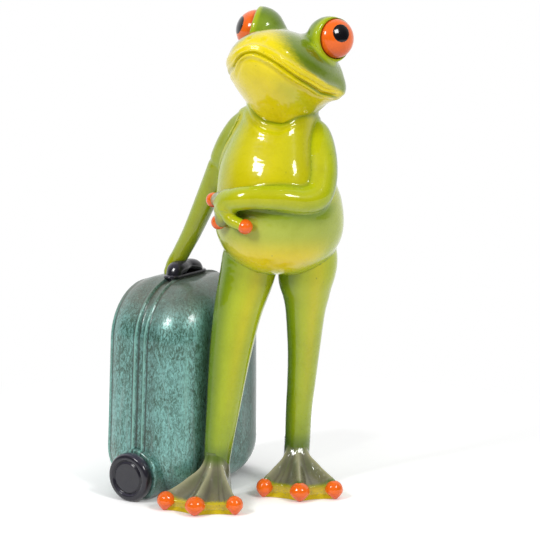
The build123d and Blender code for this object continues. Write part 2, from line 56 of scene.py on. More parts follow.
# %% [markdown]
# ## Curves, grids and meshes
# Every piece is a grid of points that closes round its columns and shrinks to a point at both ends, so one
# function can make all the faces. The alternative is to sculpt by hand, but a formula can be read and changed.

# %% Curve and grid helpers


def ease(value, low, high):
    """Rises smoothly from 0 at low to 1 at high: three times the square less twice the cube."""
    t = np.clip((value - low) / (high - low), 0, 1)
    return t * t * (3 - 2 * t)


def bell(value, width):
    """A bump of height 1: e to the minus square of the value over the width."""
    return np.exp(-((value / width) ** 2))


def swells(value, rows):
    """A sum of bells, each with its height, place and width."""
    return sum(height * bell(value - place, width) for height, place, width in rows)


def unit(vectors):
    """Each vector divided by its length."""
    return vectors / np.maximum(np.linalg.norm(vectors, axis=-1, keepdims=True), 1e-9)


def smooth_curve(rows, count):
    """A Catmull-Rom curve through the rows: on each stretch, a cubic of the four nearest rows."""
    p = np.asarray(rows, float)
    p = np.vstack([2 * p[0] - p[1], p, 2 * p[-1] - p[-2]])
    t = np.linspace(0, len(p) - 3, count)
    i = np.minimum(t.astype(int), len(p) - 4)
    s = (t - i)[:, None]
    a, b, c, d = p[i], p[i + 1], p[i + 2], p[i + 3]
    return 0.5 * (2 * b + (c - a) * s + (2 * a - 5 * b + 4 * c - d) * s**2 + (3 * b - a - 3 * c + d) * s**3)


def circle(count):
    """Angles once round, without the repeated end."""
    return np.linspace(0, 2 * np.pi, count, endpoint=False)


def equal_steps(line, count):
    """Points at equal steps of length, once round a closed line in a plane."""
    line = np.vstack([line, line[:1]])
    length = np.concatenate([[0], np.cumsum(np.linalg.norm(np.diff(line, axis=0), axis=1))])
    at = np.linspace(0, length[-1], count, endpoint=False)
    return np.stack([np.interp(at, length, line[:, i]) for i in (0, 1)], -1)


def tube(rows, sides, aside):
    """A round profile carried along a path of rows x, y, z, radius, with a half ball on each end.
    The profile is turned by the path's direction crossed with the vector aside."""
    domes = np.linspace(np.pi / 2, 0, 9)[:-1, None]
    path, radius = rows[:, :3], rows[:, 3:]
    way = unit(np.gradient(path, axis=0))
    first = np.hstack([path[0] - way[0] * radius[0] * np.sin(domes), radius[0] * np.cos(domes)])
    last = np.hstack([path[-1] + way[-1] * radius[-1] * np.sin(domes), radius[-1] * np.cos(domes)])[::-1]
    rows = np.vstack([first, rows, last])
    way = np.vstack([np.repeat(way[:1], len(domes), 0), way, np.repeat(way[-1:], len(domes), 0)])
    across = unit(np.cross(way, aside))
    over = np.cross(across, way)
    angle = circle(sides)[:, None]
    ring = across[:, None] * np.cos(angle) + over[:, None] * np.sin(angle)
    return rows[:, None, :3] + ring * rows[:, None, 3:]


def turned(profile, centre, axis, sides):
    """A profile of rows (along the axis, out from it) turned once round the axis."""
    axis = unit(np.asarray(axis, float))
    # Any vector that doesn't lie along the axis will do for the first cross product.
    across = unit(np.cross(axis, (0.31, 0.17, 0.93) if abs(axis[2]) < 0.9 else (1.0, 0.0, 0.0)))
    over = np.cross(axis, across)
    angle = circle(sides)[:, None]
    ring = across * np.cos(angle) + over * np.sin(angle)
    profile = np.asarray(profile)
    return centre + profile[:, :1, None] * axis + profile[:, 1:, None] * ring


def ball(centre, radius, axis, rows=40, sides=56):
    """A ball: a half circle turned round the axis."""
    angle = np.linspace(-np.pi / 2, np.pi / 2, rows)
    return turned(np.stack([radius * np.sin(angle), radius * np.cos(angle)], -1), centre, axis, sides)


def grid_normals(grid):
    """The cross product of the steps along and round a grid, pointing away from its middle."""
    along = np.gradient(grid, axis=0)
    round_it = np.roll(grid, -1, axis=1) - np.roll(grid, 1, axis=1)
    normal = unit(np.cross(along, round_it))
    outwards = np.sum(normal * (grid - grid.mean(axis=1, keepdims=True)))
    return normal if outwards > 0 else -normal


def closed_faces(grid):
    """The points of a grid with each end row drawn to one point, and its quads and end triangles."""
    rows, sides = grid.shape[:2]
    points = np.vstack([grid[:1].mean(axis=1), grid[1:-1].reshape(-1, 3), grid[-1:].mean(axis=1)])
    ring = 1 + np.arange((rows - 2) * sides).reshape(rows - 2, sides)
    beside = np.roll(ring, -1, axis=1)
    quads = np.stack([ring[:-1], beside[:-1], beside[1:], ring[1:]], -1).reshape(-1, 4)
    start = np.stack([np.zeros(sides, int), beside[0], ring[0]], -1)
    end = np.stack([np.full(sides, len(points) - 1), ring[-1], beside[-1]], -1)
    halves = np.vstack([quads[:, :3], quads[:, [0, 2, 3]], start, end])
    a, b, c = (points[halves[:, i]] for i in range(3))
    if np.sum(a * np.cross(b, c)) < 0:
        quads, start, end = quads[:, ::-1], start[:, ::-1], end[:, ::-1]
    return points, [*quads.tolist(), *start.tolist(), *end.tolist()]


# %% [markdown]
# A piece is one mesh, made of one or more grids. Its colours are worked out for each point, as the spray gun
# would lay them, with some painted shade and sheen among them, and kept with the mesh as an attribute named paint. It
# then takes the place of its solid.

# %% Pieces


def linear(colour):
    """A screen colour of 0 to 255 as light: the part over 0.055 to the power 2.4."""
    c = np.asarray(colour, float) / 255
    return np.where(c <= 0.04045, c / 12.92, ((c + 0.055) / 1.055) ** 2.4)


def rgba(colour):
    """A screen colour as light, with the fourth number that shader nodes take."""
    return (*linear(colour), 1)


def mix(first, second, share):
    """From the first colour to the second, by a share for each point."""
    share = np.asarray(share)[..., None]
    return first * (1 - share) + second * share


def coats(base, *layers):
    """Lays layers over a base colour, one after the other: each is a colour and its share for each point."""
    for colour, share in layers:
        base = mix(base, colour, share)
    return base


def ripples(points):
    """Low swells of brushed lacquer, about 2 mm apart: products of bent sine waves in three slanted directions."""
    a, b, c = (points @ np.array(way) for way in ((2.9, 1.1, 0.7), (-0.8, 2.6, 1.3), (0.9, -1.2, 2.8)))
    first = np.sin(a + 1.7 * np.sin(0.31 * b)) * np.sin(b + 1.3 * np.sin(0.27 * c))
    return first + 0.6 * np.sin(c + 1.9 * np.sin(0.23 * a)) * np.sin(0.7 * a - b)


def piece(name, grids, material, spray, stands_for=None, wave=0.016):
    """Joins the grids in one mesh, ripples and sprays it, and puts it in the place of the solid of that name."""
    points, faces, count = [], [], 0
    for grid in grids:
        some, around = closed_faces(grid)
        points.append(some)
        faces += [[corner + count for corner in face] for face in around]
        count += len(some)
    points = np.vstack(points)
    mesh = bpy.data.meshes.new(name)
    mesh.from_pydata(((points + hip_point) * MM).tolist(), [], faces)
    mesh.polygons.foreach_set("use_smooth", np.ones(len(faces), bool))
    normals = np.empty(len(points) * 3)
    mesh.vertex_normals.foreach_get("vector", normals)
    normals = normals.reshape(-1, 3)
    points = points + normals * (wave * ripples(points))[:, None]
    mesh.vertices.foreach_set("co", ((points + hip_point) * MM).ravel())
    mesh.update()
    colours = np.ones((len(points), 4))
    colours[:, :3] = spray(points, normals)
    paint = mesh.color_attributes.new("paint", "FLOAT_COLOR", "POINT")
    paint.data.foreach_set("color", colours.ravel())
    mesh.materials.append(material)
    thing = bpy.data.objects.new(name, mesh)
    bpy.context.scene.collection.objects.link(thing)
    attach(thing, "root")
    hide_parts(stands_for or name)
    print(name, "has", len(faces), "faces and is", np.ptp(points, axis=0).round(1), "mm across")


# %% [markdown]
# ## Finishes
# Materials are networks of nodes. This small class wraps a socket, so that sums and products of sockets read
# like sums and products of numbers, and any other node comes from its one method.

# %% Shader sockets


def fill(node, **inputs):
    """Gives a node's sockets, named or numbered as i0, their links or constant values."""
    for key, value in inputs.items():
        socket = node.inputs[int(key[1:])] if key[1:].isdigit() else node.inputs[key.replace("_", " ")]
        if isinstance(value, Socket):
            value.tree.links.new(value.end, socket)
        else:
            socket.default_value = value


class Socket:
    """A socket of a material's node tree."""

    def __init__(self, tree, end=None):
        self.tree, self.end = tree, end

    def add(self, kind, settings=None, out=0, **inputs):
        """Adds a node with its settings and sockets, and gives back its output of that number."""
        node = self.tree.nodes.new(kind)
        for key, value in (settings or {}).items():
            setattr(node, key, value)
        fill(node, **inputs)
        return Socket(self.tree, node.outputs[out])

    def outs(self, *keys):
        """Several outputs of this socket's node, by name or number."""
        return [Socket(self.tree, self.end.node.outputs[key]) for key in keys]

    def math(self, operation, first, second):
        """One step of arithmetic with two sockets or numbers."""
        return self.add("ShaderNodeMath", {"operation": operation}, i0=first, i1=second)

    def __add__(self, other):
        return self.math("ADD", self, other)

    def __sub__(self, other):
        return self.math("SUBTRACT", self, other)

    def __rsub__(self, other):
        return self.math("SUBTRACT", other, self)

    def __mul__(self, other):
        return self.math("MULTIPLY", self, other)

    __radd__, __rmul__ = __add__, __mul__

    def between(self, low, high):
        """0 below low, 1 above high and smooth between."""
        return self.add("ShaderNodeMapRange", {"interpolation_type": "SMOOTHSTEP"}, i0=self, i1=low, i2=high)

    def blend(self, first, second):
        """Mixes two colours by this socket."""
        return self.add("ShaderNodeMix", {"data_type": "RGBA"}, out=2, i0=self, i6=first, i7=second)


def new_material(name):
    """A new material, its shader, and its Object coordinates to read from."""
    material = bpy.data.materials.new(name)
    material.use_nodes = True
    tree = material.node_tree
    return material, tree.nodes["Principled BSDF"], Socket(tree).add("ShaderNodeTexCoord", out=3)


def noise(where, size, detail=3.0, roughness=0.55, distortion=0.0):
    """Cloudy noise with spots about that many millimetres wide."""
    look = {"Detail": detail, "Roughness": roughness, "Distortion": distortion}
    return where.add("ShaderNodeTexNoise", Vector=where, Scale=1 / (size * MM), **look)


# %% [markdown]
# The frog's skin is sprayed colour under a thick clear lacquer. The spray comes from the paint attribute. The
# shader adds what a spray gun and a brush leave: clouds in the tint, dark specks and a faint orange peel.

# %% Lacquers
SPECK_SPACING = 2.3


def lacquer(name, clouds, specks, speck_colour, roughness):
    """Sprayed colour with cloudy tint and dark specks, under a clear coat."""
    material, shader, where = new_material(name)
    sprayed = where.add("ShaderNodeAttribute", {"attribute_name": "paint"})
    deeper = where.add("ShaderNodeHueSaturation", Hue=0.5, Saturation=1.08, Value=0.74, Color=sprayed)
    tint = (noise(where, 6.0, detail=4.0).between(0.42, 0.75) * clouds).blend(sprayed, deeper)
    grain = noise(where, 0.4, detail=2.0).between(0.5, 0.75) * clouds
    tint = (0.45 * grain).blend(tint, deeper)
    dots = where.add("ShaderNodeTexVoronoi", {"feature": "F1"}, Vector=where, Scale=1 / (SPECK_SPACING * MM))
    dot = (1 - dots.between(0.04, 0.16)) * noise(where, 3.1).between(0.5, 0.72) * specks
    peel = noise(where, 2.6, detail=2.0) + 0.25 * noise(where, 0.7, detail=1.0)
    fill(
        shader, Base_Color=dot.blend(tint, rgba(speck_colour)), Roughness=roughness + 0.12 * noise(where, 1.6),
        Normal=where.add("ShaderNodeBump", Strength=0.12, Distance=0.25 * MM, Height=peel),
        Specular_IOR_Level=0.12, Coat_Weight=0.8, Coat_Roughness=0.035, Coat_IOR=1.5,
    )
    return material


skin = lacquer("skin_lacquer", 0.4, 0.7, (84, 104, 24), 0.22)
orange = lacquer("orange_lacquer", 0.45, 0.35, (130, 40, 14), 0.16)
black = lacquer("pupil_lacquer", 0.2, 0.0, (5, 5, 8), 0.12)
charcoal = lacquer("charcoal_lacquer", 0.6, 0.3, (110, 108, 112), 0.28)
print("lacquers:", skin.name, orange.name, black.name, charcoal.name)

# %% [markdown]
# The suitcase is painted twice: dark green first, then light metallic teal, dabbed on with an almost dry brush,
# so that the strokes break up; fewer strokes on the far part, by the leg, give painted shade. Dust-grey paint sits on
# the top, and dark paint stays in the seams.
# The three shares of the paint attribute hold the dust, the dark of the seams with painted shade, and the rubbed ridges
# with a painted highlight.

# %% Brushed teal and steel
CASE_LEFT = (0.574, 0.819, 0.0)


def brushed_teal():
    """Dry-brushed metallic teal over dark green: two stretched noises pick where the brush touched."""
    material, shader, where = new_material("brushed_teal")
    masks = where.add("ShaderNodeAttribute", {"attribute_name": "paint"})
    dust, seam_and_shade, rubbed_and_highlight = where.add("ShaderNodeSeparateColor", Color=masks).outs(0, 1, 2)
    slanted = where.add("ShaderNodeMapping", Vector=where, Rotation=(0.5, 0.6, 0.9), Scale=(1.0, 1.0, 0.4))
    strokes = 0.55 * noise(slanted, 0.42, detail=3.0, roughness=0.6, distortion=1.2)
    strokes = strokes + 0.45 * noise(slanted, 1.3, detail=2.0, distortion=2.2)
    patches = noise(where, 11.0, detail=2.0)
    across = where.add("ShaderNodeVectorMath", {"operation": "DOT_PRODUCT"}, out=1, i0=where, i1=CASE_LEFT)
    # Painted shade: fewer light strokes on the far part of the suitcase, by the leg.
    touched = (strokes + 0.14 * patches).between(0.44, 0.74) * (1 - 0.75 * across.between(0.002, 0.014))
    hanging = where.add("ShaderNodeMapping", Vector=where, Scale=(1.0, 1.0, 0.07))
    height = where.add("ShaderNodeSeparateXYZ", out=2, Vector=where)
    wiped = noise(hanging, 1.7).between(0.54, 0.7) * (1 - height.between(0.022, 0.05))
    green, mid, light, pale, worn_and_highlight, dark, ash, grey = (rgba(c) for c in (
        (44, 80, 62), (62, 104, 92), (146, 206, 200), (138, 164, 158), (128, 186, 172), (30, 42, 34),
        (72, 80, 70), (122, 120, 108),
    ))
    colour = patches.between(0.35, 0.65).blend(green, mid)
    dusty = dust * (0.5 + 0.5 * noise(where, 5.0))
    layers = (touched * 0.85, light), (wiped * 0.5, pale), (rubbed_and_highlight * 0.8, worn_and_highlight), (seam_and_shade * 0.9, dark)
    for share, paint in (*layers, (dusty, noise(where, 3.0).blend(ash, grey))):
        colour = share.blend(colour, paint)
    fill(
        shader, Base_Color=colour, Metallic=0.45 * touched * (1 - dust), Roughness=0.3 + 0.14 * strokes + 0.15 * dust,
        Normal=where.add("ShaderNodeBump", Strength=0.3, Distance=0.2 * MM, Height=strokes),
        Coat_Weight=0.55, Coat_Roughness=0.12,
    )
    return material


def steel_rod():
    """Cut steel with fine drawn lines along the rod."""
    material, shader, where = new_material("drawn_steel")
    lines = noise(where.add("ShaderNodeMapping", Vector=where, Scale=(1.0, 1.0, 0.05)), 0.15)
    steel_tint = lines.blend((0.45, 0.45, 0.47, 1), (0.66, 0.66, 0.68, 1))
    fill(shader, Base_Color=steel_tint, Roughness=0.25 + 0.2 * lines, Metallic=1.0)
    return material


teal = brushed_teal()
steel = steel_rod()
for pin in ("neck_dowel", "left_shoulder_pin", "right_shoulder_pin", "left_leg_rod", "right_leg_rod"):
    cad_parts[pin].data.materials.clear()
    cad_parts[pin].data.materials.append(steel)
print("the suitcase is", teal.name, "and the hidden pins are", steel.name)

# %% [markdown]
# ## Where the pieces lie
# The torso leans, and the head is turned, tipped up and cocked. Both get a frame of three directions, and each
# form a field: a rough distance from its skin, which tells other pieces how near they are.

# %% Torso and head frames
SIDES = ((1, "left"), (-1, "right"))
BELLY_HEIGHT, BELLY_RADIUS, NECK_RISE = 91.6, 20.2, 35.6
LEAN_BACK, LEAN_SIDE = 6.8, 2.8
HEAD_YAW, HEAD_PITCH, HEAD_ROLL = 29.0, 27.5, 5.5
NECK_TO_FACE = np.array([1.8, -1.9, 4.8])
HEAD_HALF_WIDTH, SNOUT, NAPE, SKULL, JAW = 17.9, 30.0, 10.5, 16.5, 11.6
JAW_POWER, CHEEK_FLATNESS, JAW_START = 1.62, 0.32, 2.2
JAW_DEPTH, JAW_FALL_LEFT, JAW_FALL_RIGHT = 1.36, 1.08, 0.26
CHIN_SWELL, CHIN_PLACE, CHIN_WIDTH = 0.32, 6.3, 4.2
NAPE_SLOPE, NAPE_START = 0.7, 4.0


def rotation(degrees, axis):
    """The matrix of a turn about the x, y or z axis, numbered 0 to 2."""
    c, s = np.cos(np.radians(degrees)), np.sin(np.radians(degrees))
    i, j = [(1, 2), (2, 0), (0, 1)][axis]
    matrix = np.eye(3)
    matrix[i, i], matrix[j, j], matrix[i, j], matrix[j, i] = c, c, -s, s
    return matrix


torso_turn = rotation(-LEAN_BACK, 0) @ rotation(LEAN_SIDE, 1)
torso_middle = np.array([0, -BELLY_FORWARD, BELLY_HEIGHT])
torso_up = torso_turn[:, 2]
head_turn = rotation(-HEAD_YAW, 2) @ rotation(-HEAD_PITCH, 0) @ rotation(HEAD_ROLL, 1)
head_middle = torso_middle + torso_up * NECK_RISE + NECK_TO_FACE


def in_head(points):
    """Head coordinates of points: to the frog's left, towards the snout, and up."""
    local = (points - head_middle) @ head_turn
    return local[..., 0], -local[..., 1], local[..., 2]


def from_head(left, forward, up):
    """Points from their head coordinates."""
    return head_middle + np.stack([left, -forward, up], -1) @ head_turn.T


# Torso outline: share of the way from crotch to neck, share of the belly's radius at the frog's left, in front
# and behind, and at its right.
TORSO_SHARES = (
    (0.022, 0.0, 0.0, 0.0), (0.045, 0.42, 0.42, 0.42), (0.125, 0.765, 0.765, 0.765), (0.235, 0.955, 0.955, 0.955),
    (0.35, 1.0, 1.0, 1.0), (0.47, 0.95, 1.0, 1.0), (0.55, 0.87, 0.985, 0.995), (0.62, 0.78, 0.95, 0.975),
    (0.69, 0.685, 0.885, 0.93), (0.77, 0.61, 0.79, 0.85), (0.86, 0.56, 0.685, 0.745), (0.95, 0.53, 0.6, 0.64),
    (1.03, 0.505, 0.545, 0.56), (1.1, 0.42, 0.44, 0.44), (1.12, 0.0, 0.0, 0.0),
)
TORSO_HEIGHT, BELLY_RISE = 54.5, 19.1
torso_outline = smooth_curve(TORSO_SHARES, 220) * (TORSO_HEIGHT, *3 * [BELLY_RADIUS]) - (BELLY_RISE, 0, 0, 0)
torso_outline[:, 1:] = np.maximum(torso_outline[:, 1:], 0)


def torso_radius(height, aside):
    """The torso's radius at a height on its axis, between three outlines: slim on the frog's left, where the arm
    lies, and full on its right. The second input is the way out's share to the frog's left."""
    slim, front, full = (np.interp(height, torso_outline[:, 0], torso_outline[:, i]) for i in (1, 2, 3))
    return front + (slim - front) * ease(aside, 0.15, 1.0) + (full - front) * ease(-aside, 0.2, 0.9)


def torso_field(points):
    """Rough distance from the torso: out from its axis, less the outline's radius at that height."""
    local = points - torso_middle
    height = local @ torso_up
    way = local - height[..., None] * torso_up
    out = np.linalg.norm(way, axis=-1)
    inside = torso_radius(height, way[..., 0] / np.maximum(out, 1e-6))
    beyond = np.maximum(torso_outline[0, 0] - height, 0) + np.maximum(height - torso_outline[-1, 0], 0)
    return (out - inside) * 0.93 + beyond


def jaw_power(sideways):
    """2 gives a round jaw and less a flatter one: flatter below the cheeks than below the snout."""
    return JAW_POWER - CHEEK_FLATNESS * ease(sideways, 0.75, 1.0)


def jaw_share(left):
    """How much of the jaw's depth stays: most under the chin, a little left of the middle, and less towards the
    cheeks, above all the frog's left one. The slope is 0 on the right and rises in a soft bend to the left."""
    aside = left / HEAD_HALF_WIDTH
    slope = (aside + np.sqrt(aside**2 + 0.03)) / 2
    chin = CHIN_SWELL * bell(left - CHIN_PLACE, CHIN_WIDTH)
    return JAW_DEPTH - JAW_FALL_LEFT * slope + chin - JAW_FALL_RIGHT * ease(-aside, -0.05, 0.6)


def nape_rise(left, forward, up):
    """How far the jaw rises behind the left corner of the mouth: in proportion to the way back, with a soft start,
    and nothing at the crown or on the frog's right."""
    back = (np.sqrt(forward**2 + NAPE_START**2) - forward) / 2
    return NAPE_SLOPE * back * ease(left / HEAD_HALF_WIDTH, 0.0, 0.7) * (1 - ease(up, -1, 9))


def head_field(points):
    """Rough distance from the bare head, along the line to its middle: how far the sum of powers passes 1."""
    left, forward, up = in_head(points)
    up = up - nape_rise(left, forward, up)
    up = np.where(up < -JAW_START, -JAW_START + (up + JAW_START) / jaw_share(left), up)
    level = np.hypot(left / HEAD_HALF_WIDTH, forward / np.where(forward > 0, SNOUT, NAPE))
    upright = np.abs(up) / np.where(up > 0, SKULL, JAW)
    power = np.where(up > 0, 2.0, jaw_power(np.abs(left / HEAD_HALF_WIDTH) / np.maximum(level, 1e-6)))
    share = np.maximum((level**power + upright**power) ** (1 / power), 1e-6)
    return (share - 1) / share * np.sqrt(left**2 + forward**2 + up**2) * 0.85


def limb_field(rows):
    """The distance from a limb: to its nearest path point, less the radius there."""
    def field(points):
        gaps = np.linalg.norm(points.reshape(-1, 1, 3) - rows[None, :, :3], axis=-1) - rows[None, :, 3]
        return gaps.min(axis=1).reshape(points.shape[:-1])
    return field


def close_to(field, points, width):
    """1 inside a form, and outside it a bell of the distance."""
    return bell(np.maximum(field(points), 0), width)


def soften(grid, fields, reach):
    """Lifts a surface towards its neighbours, like a bead of glue smoothed by a finger: by the square of what
    the gap lacks to the reach, over twice the reach, and less again inside the neighbour."""
    gap = np.min([field(grid) for field in fields], axis=0)
    lift = np.clip(reach - np.abs(gap), 0, reach) ** 2 / (2 * reach)
    return grid + grid_normals(grid) * lift[..., None]


eye_box = np.array(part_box("left_eye")).mean(axis=0) / MM - hip_point
print("the left eye lies at", np.round(in_head(eye_box), 2), "in the head's own directions")

# %% [markdown]
# Arms and legs are paths with a radius at each row. The paths are set down here, before any of them is made,
# because the torso gets painted shade under the forearm and so has to know where that is.

# %% Limb paths
ARM_LEFT_ROWS = (
    (10.0, -0.4, 120.6, 3.2), (11.8, -3.6, 117.4, 4.4), (12.7, -8.6, 111.4, 5.1), (12.5, -12.8, 105.0, 5.2),
    (11.0, -16.4, 101.0, 4.9), (7.0, -19.6, 100.0, 4.2), (0.8, -21.7, 101.0, 4.0), (-6.0, -22.4, 101.4, 3.7),
    (-11.3, -21.6, 101.0, 3.7), (-15.0, -19.0, 99.7, 3.6), (-16.8, -16.6, 98.0, 3.2),
)
ARM_RIGHT_ROWS = (
    (-8.0, 1.5, 121.8, 3.2), (-11.4, 2.2, 120.8, 3.7), (-13.7, 3.6, 117.4, 4.2), (-16.4, 5.8, 112.0, 4.3),
    (-19.3, 8.8, 104.6, 4.0), (-23.4, 12.8, 94.6, 3.5), (-28.0, 17.4, 83.6, 3.05), (-31.6, 20.8, 76.2, 2.8),
    (-33.6, 21.6, 72.6, 2.7), (-35.0, 21.4, 69.8, 2.3),
)
ELBOW_HEIGHT = 107.5
LEG_RIGHT_ROWS = (
    (-7.8, -0.4, 86.0, 7.4), (-9.0, -0.2, 79.5, 8.8), (-10.2, -0.5, 73.0, 8.7), (-13.2, -1.4, 61.6, 7.6),
    (-15.7, -2.4, 47.2, 6.5), (-17.9, -3.6, 30.0, 5.25), (-19.3, -4.5, 18.7, 4.45), (-19.8, -4.9, 13.4, 4.1),
    (-19.9, -5.1, 11.4, 4.1),
)
LEG_LEFT_ROWS = (
    (9.0, -0.5, 87.0, 7.2), (9.3, -0.2, 79.0, 9.0), (8.4, 0.6, 72.0, 8.9), (8.4, 1.6, 66.0, 7.4),
    (8.2, 2.8, 60.0, 6.25), (7.7, 6.0, 46.7, 5.1), (7.0, 8.4, 36.0, 4.55), (6.3, 10.4, 27.0, 4.25),
    (5.9, 12.4, 16.0, 4.1), (5.7, 13.0, 12.0, 4.1),
)
RIGHT_BEAD, LEFT_BEAD, LEG_BEAD, KNUCKLE_BEAD = 2.4, 1.0, 0.6, 1.6
arm_left, arm_right = smooth_curve(ARM_LEFT_ROWS, 110), smooth_curve(ARM_RIGHT_ROWS, 110)
arm_right[:, 3] -= 0.35 * bell(arm_right[:, 2] - ELBOW_HEIGHT, 0.7)
leg_left, leg_right = smooth_curve(LEG_LEFT_ROWS, 130), smooth_curve(LEG_RIGHT_ROWS, 130)
on_arm_left, on_arm_right, on_leg_left, on_leg_right = map(limb_field, (arm_left, arm_right, leg_left, leg_right))
print("forearm over the belly by", round(float(torso_field(arm_left[70, :3])), 1), "mm")

# %% [markdown]
# ## Torso
# A pear turned round a leaning axis. The neck has a soft fold under the chin, so the surface swells and sinks
# with its distance from the head. Yellow covers the front, and lime and green wrap round to the back.

# %% Torso colours and form
LEMON, GOLD, LIME, LEAF, MOSS, SAGE, WEB_GREY, OLIVE = (linear(c) for c in (
    (236, 216, 16), (240, 212, 0), (172, 186, 22), (110, 138, 16), (78, 106, 14), (164, 180, 70), (116, 112, 90),
    (190, 186, 6),
))
FRONT = unit(np.array([-0.12, -1.0, 0.0]))
FOREARM_HEIGHT, GOLD_HEIGHT = 99.0, 79.0
NECK_ROLLS = ((0.4, 0.8, 0.6), (-0.3, 1.8, 0.45), (0.35, 3.0, 0.9))


def spray_torso(points, normals):
    """Yellow in front, lime at the sides, green behind, and painted shade: sage under the forearm and a green line at
    each crease.
    """
    facing, left, height = normals @ FRONT, points[:, 0], points[:, 2]
    under = FOREARM_HEIGHT - height
    below = ease(under, -1, 3) * (1 - ease(under, 9, 20))
    return coats(
        MOSS, (LIME, ease(facing, -0.9, 0.1)), (LEMON, ease(facing, 0.35, 0.95)),
        (OLIVE, 0.9 * ease(left, -5, 6) * ease(height, 94, 104) * ease(facing, 0.0, 0.5)),
        (OLIVE, 0.6 * ease(height, 100, 108) * ease(facing, 0.3, 0.8)),
        # Painted shade: sage and green below the forearm, where its shadow falls on the belly.
        (SAGE, 0.9 * below * ease(facing, 0.1, 0.6)),
        (LEAF, 0.85 * close_to(on_arm_left, points, 3.4) * below),
        (GOLD, 0.95 * bell(height - GOLD_HEIGHT, 5.5) * ease(facing, 0.3, 0.8)),
        # Painted shade: green lines in the creases at the legs, the arm and the head.
        (LEAF, 0.75 * bell(np.minimum(on_leg_left(points), on_leg_right(points)), 0.7)),
        (LEAF, 0.6 * close_to(on_arm_left, points, 1.0)),
        (LEAF, 0.65 * close_to(head_field, points, 0.9)),
    )


torso = turned(torso_outline[:, :2] * (1, 0) + (0, 1), torso_middle, torso_up, 200)
on_axis = torso_middle + torso_outline[:, None, :1] * torso_up
way_out = torso - on_axis
torso = on_axis + way_out * torso_radius(torso_outline[:, :1], way_out[..., 0])[..., None]
rolls = swells(head_field(torso), NECK_ROLLS) * (1 - 0.9 * ease(torso[..., 0], -3, 7))
torso += grid_normals(torso) * rolls[..., None]
for fields, bead in (([on_arm_right], RIGHT_BEAD), ([on_arm_left], LEFT_BEAD), ([on_leg_left, on_leg_right], LEG_BEAD)):
    torso = soften(torso, fields, bead)
piece("torso_skin", [torso], skin, spray_torso, "torso")

# %% [markdown]
# ## Head
# The head is an egg with its poles up and down, so that the rows of its grid run along the mouth. Rows crowd
# near the mouth's plane, where the lips need them. The lips and the folds are bumps that follow the height
# over that plane. Two hoods are turned round the way the eyes look and run softly into the egg.

# %% Head form
EYE_RADIUS, EYE_FLATNESS = {1: 6.1, -1: 6.5}, {1: 0.7, -1: 0.94}
EYE_PLACE = {1: (14.2, 7.8, 16.4), -1: (-14.4, 7.7, 14.8)}
EYE_TURN, EYE_LIFT = 26.0, -3.0
HOOD_RADIUS = {1: 7.25, -1: 7.8}
HOOD_BACK, HOOD_INWARDS, HOOD_UP = 0.9, 1.5, {1: 0.0, -1: 0.7}
MOUTH_TOP, MOUTH_TOP_TURN, SINK_LEFT, SINK_RIGHT, CORNER_RISE = 0.8, 0.08, 2.8, 4.4, 1.6
LIPS = ((0.45, -0.95, 0.55), (-0.3, -2.0, 0.6), (0.3, 0.7, 0.3), (-0.4, 4.4, 1.3), (0.5, 2.4, 0.75))
LIP_CREASE, GROOVE_DEPTH, GROOVE_WIDTH = 0.28, 0.85, 0.36
NOSTRIL_DEPTH, NOSTRIL_WIDTH, NOSTRIL_ASIDE, NOSTRIL_FORWARD, NOSTRIL_SHIFT = 0.7, 0.6, 2.75, 27.4, 0.75


def look_direction(side, turn, lift):
    """A direction out to the side, turned towards the snout and lifted, all in degrees."""
    turn, lift = np.radians(turn), np.radians(lift)
    left, forward, up = side * np.cos(turn) * np.cos(lift), np.sin(turn) * np.cos(lift), np.sin(lift)
    return from_head(left, forward, up) - head_middle


def eye_axis(side):
    """The way an eye's ball faces."""
    return look_direction(side, EYE_TURN, EYE_LIFT)


def eye_middle(side):
    """The middle of an eye's ball."""
    return from_head(*EYE_PLACE[side])


def flattened(grid, side):
    """Presses an eye's ball together along the way it faces."""
    axis = eye_axis(side)
    along = (grid - eye_middle(side)) @ axis
    return grid - (1 - EYE_FLATNESS[side]) * along[..., None] * axis


def mouth_height(round_it):
    """The height of the mouth's line at an angle round the head: highest by the snout's tip, sinking to both
    sides and rising a little at the corners."""
    turn = round_it - MOUTH_TOP_TURN
    sink = np.where(turn > 0, SINK_LEFT * ease(turn, 0, 0.85), SINK_RIGHT * ease(-turn, 0, 0.62))
    rise = CORNER_RISE * ease(np.abs(round_it), 1.2, 1.55)
    return (MOUTH_TOP - sink + rise) * (1 - ease(np.abs(round_it), 1.75, 2.8))


def round_head(left, forward):
    """The angle round the head, from 0 at the snout to plus or minus a quarter turn at the mouth's corners."""
    return np.arctan2(left / HEAD_HALF_WIDTH, forward / np.where(forward > 0, SNOUT, NAPE))


def hood_middle(side):
    """The hood's ball sits behind the eye and a little inwards, so that its collar is widest towards the face."""
    inwards = from_head(-0.75 * side, 0.4, -0.55 + HOOD_UP[side] / HOOD_INWARDS) - head_middle
    return eye_middle(side) - eye_axis(side) * HOOD_BACK + inwards * HOOD_INWARDS


def hood_field(points):
    """The distance from the nearer hood's ball."""
    gaps = [np.linalg.norm(points - hood_middle(side), axis=-1) - HOOD_RADIUS[side] for side in (1, -1)]
    return np.minimum(*gaps)


def hood_reach(points):
    """How softly hood and skull run together: a crease towards the cheek and a long slope towards the crown."""
    left, forward, _ = in_head(points)
    return 2.0 + 3.0 * ease(15 - np.abs(left), 0, 6) * ease(13 - forward, 0, 7)


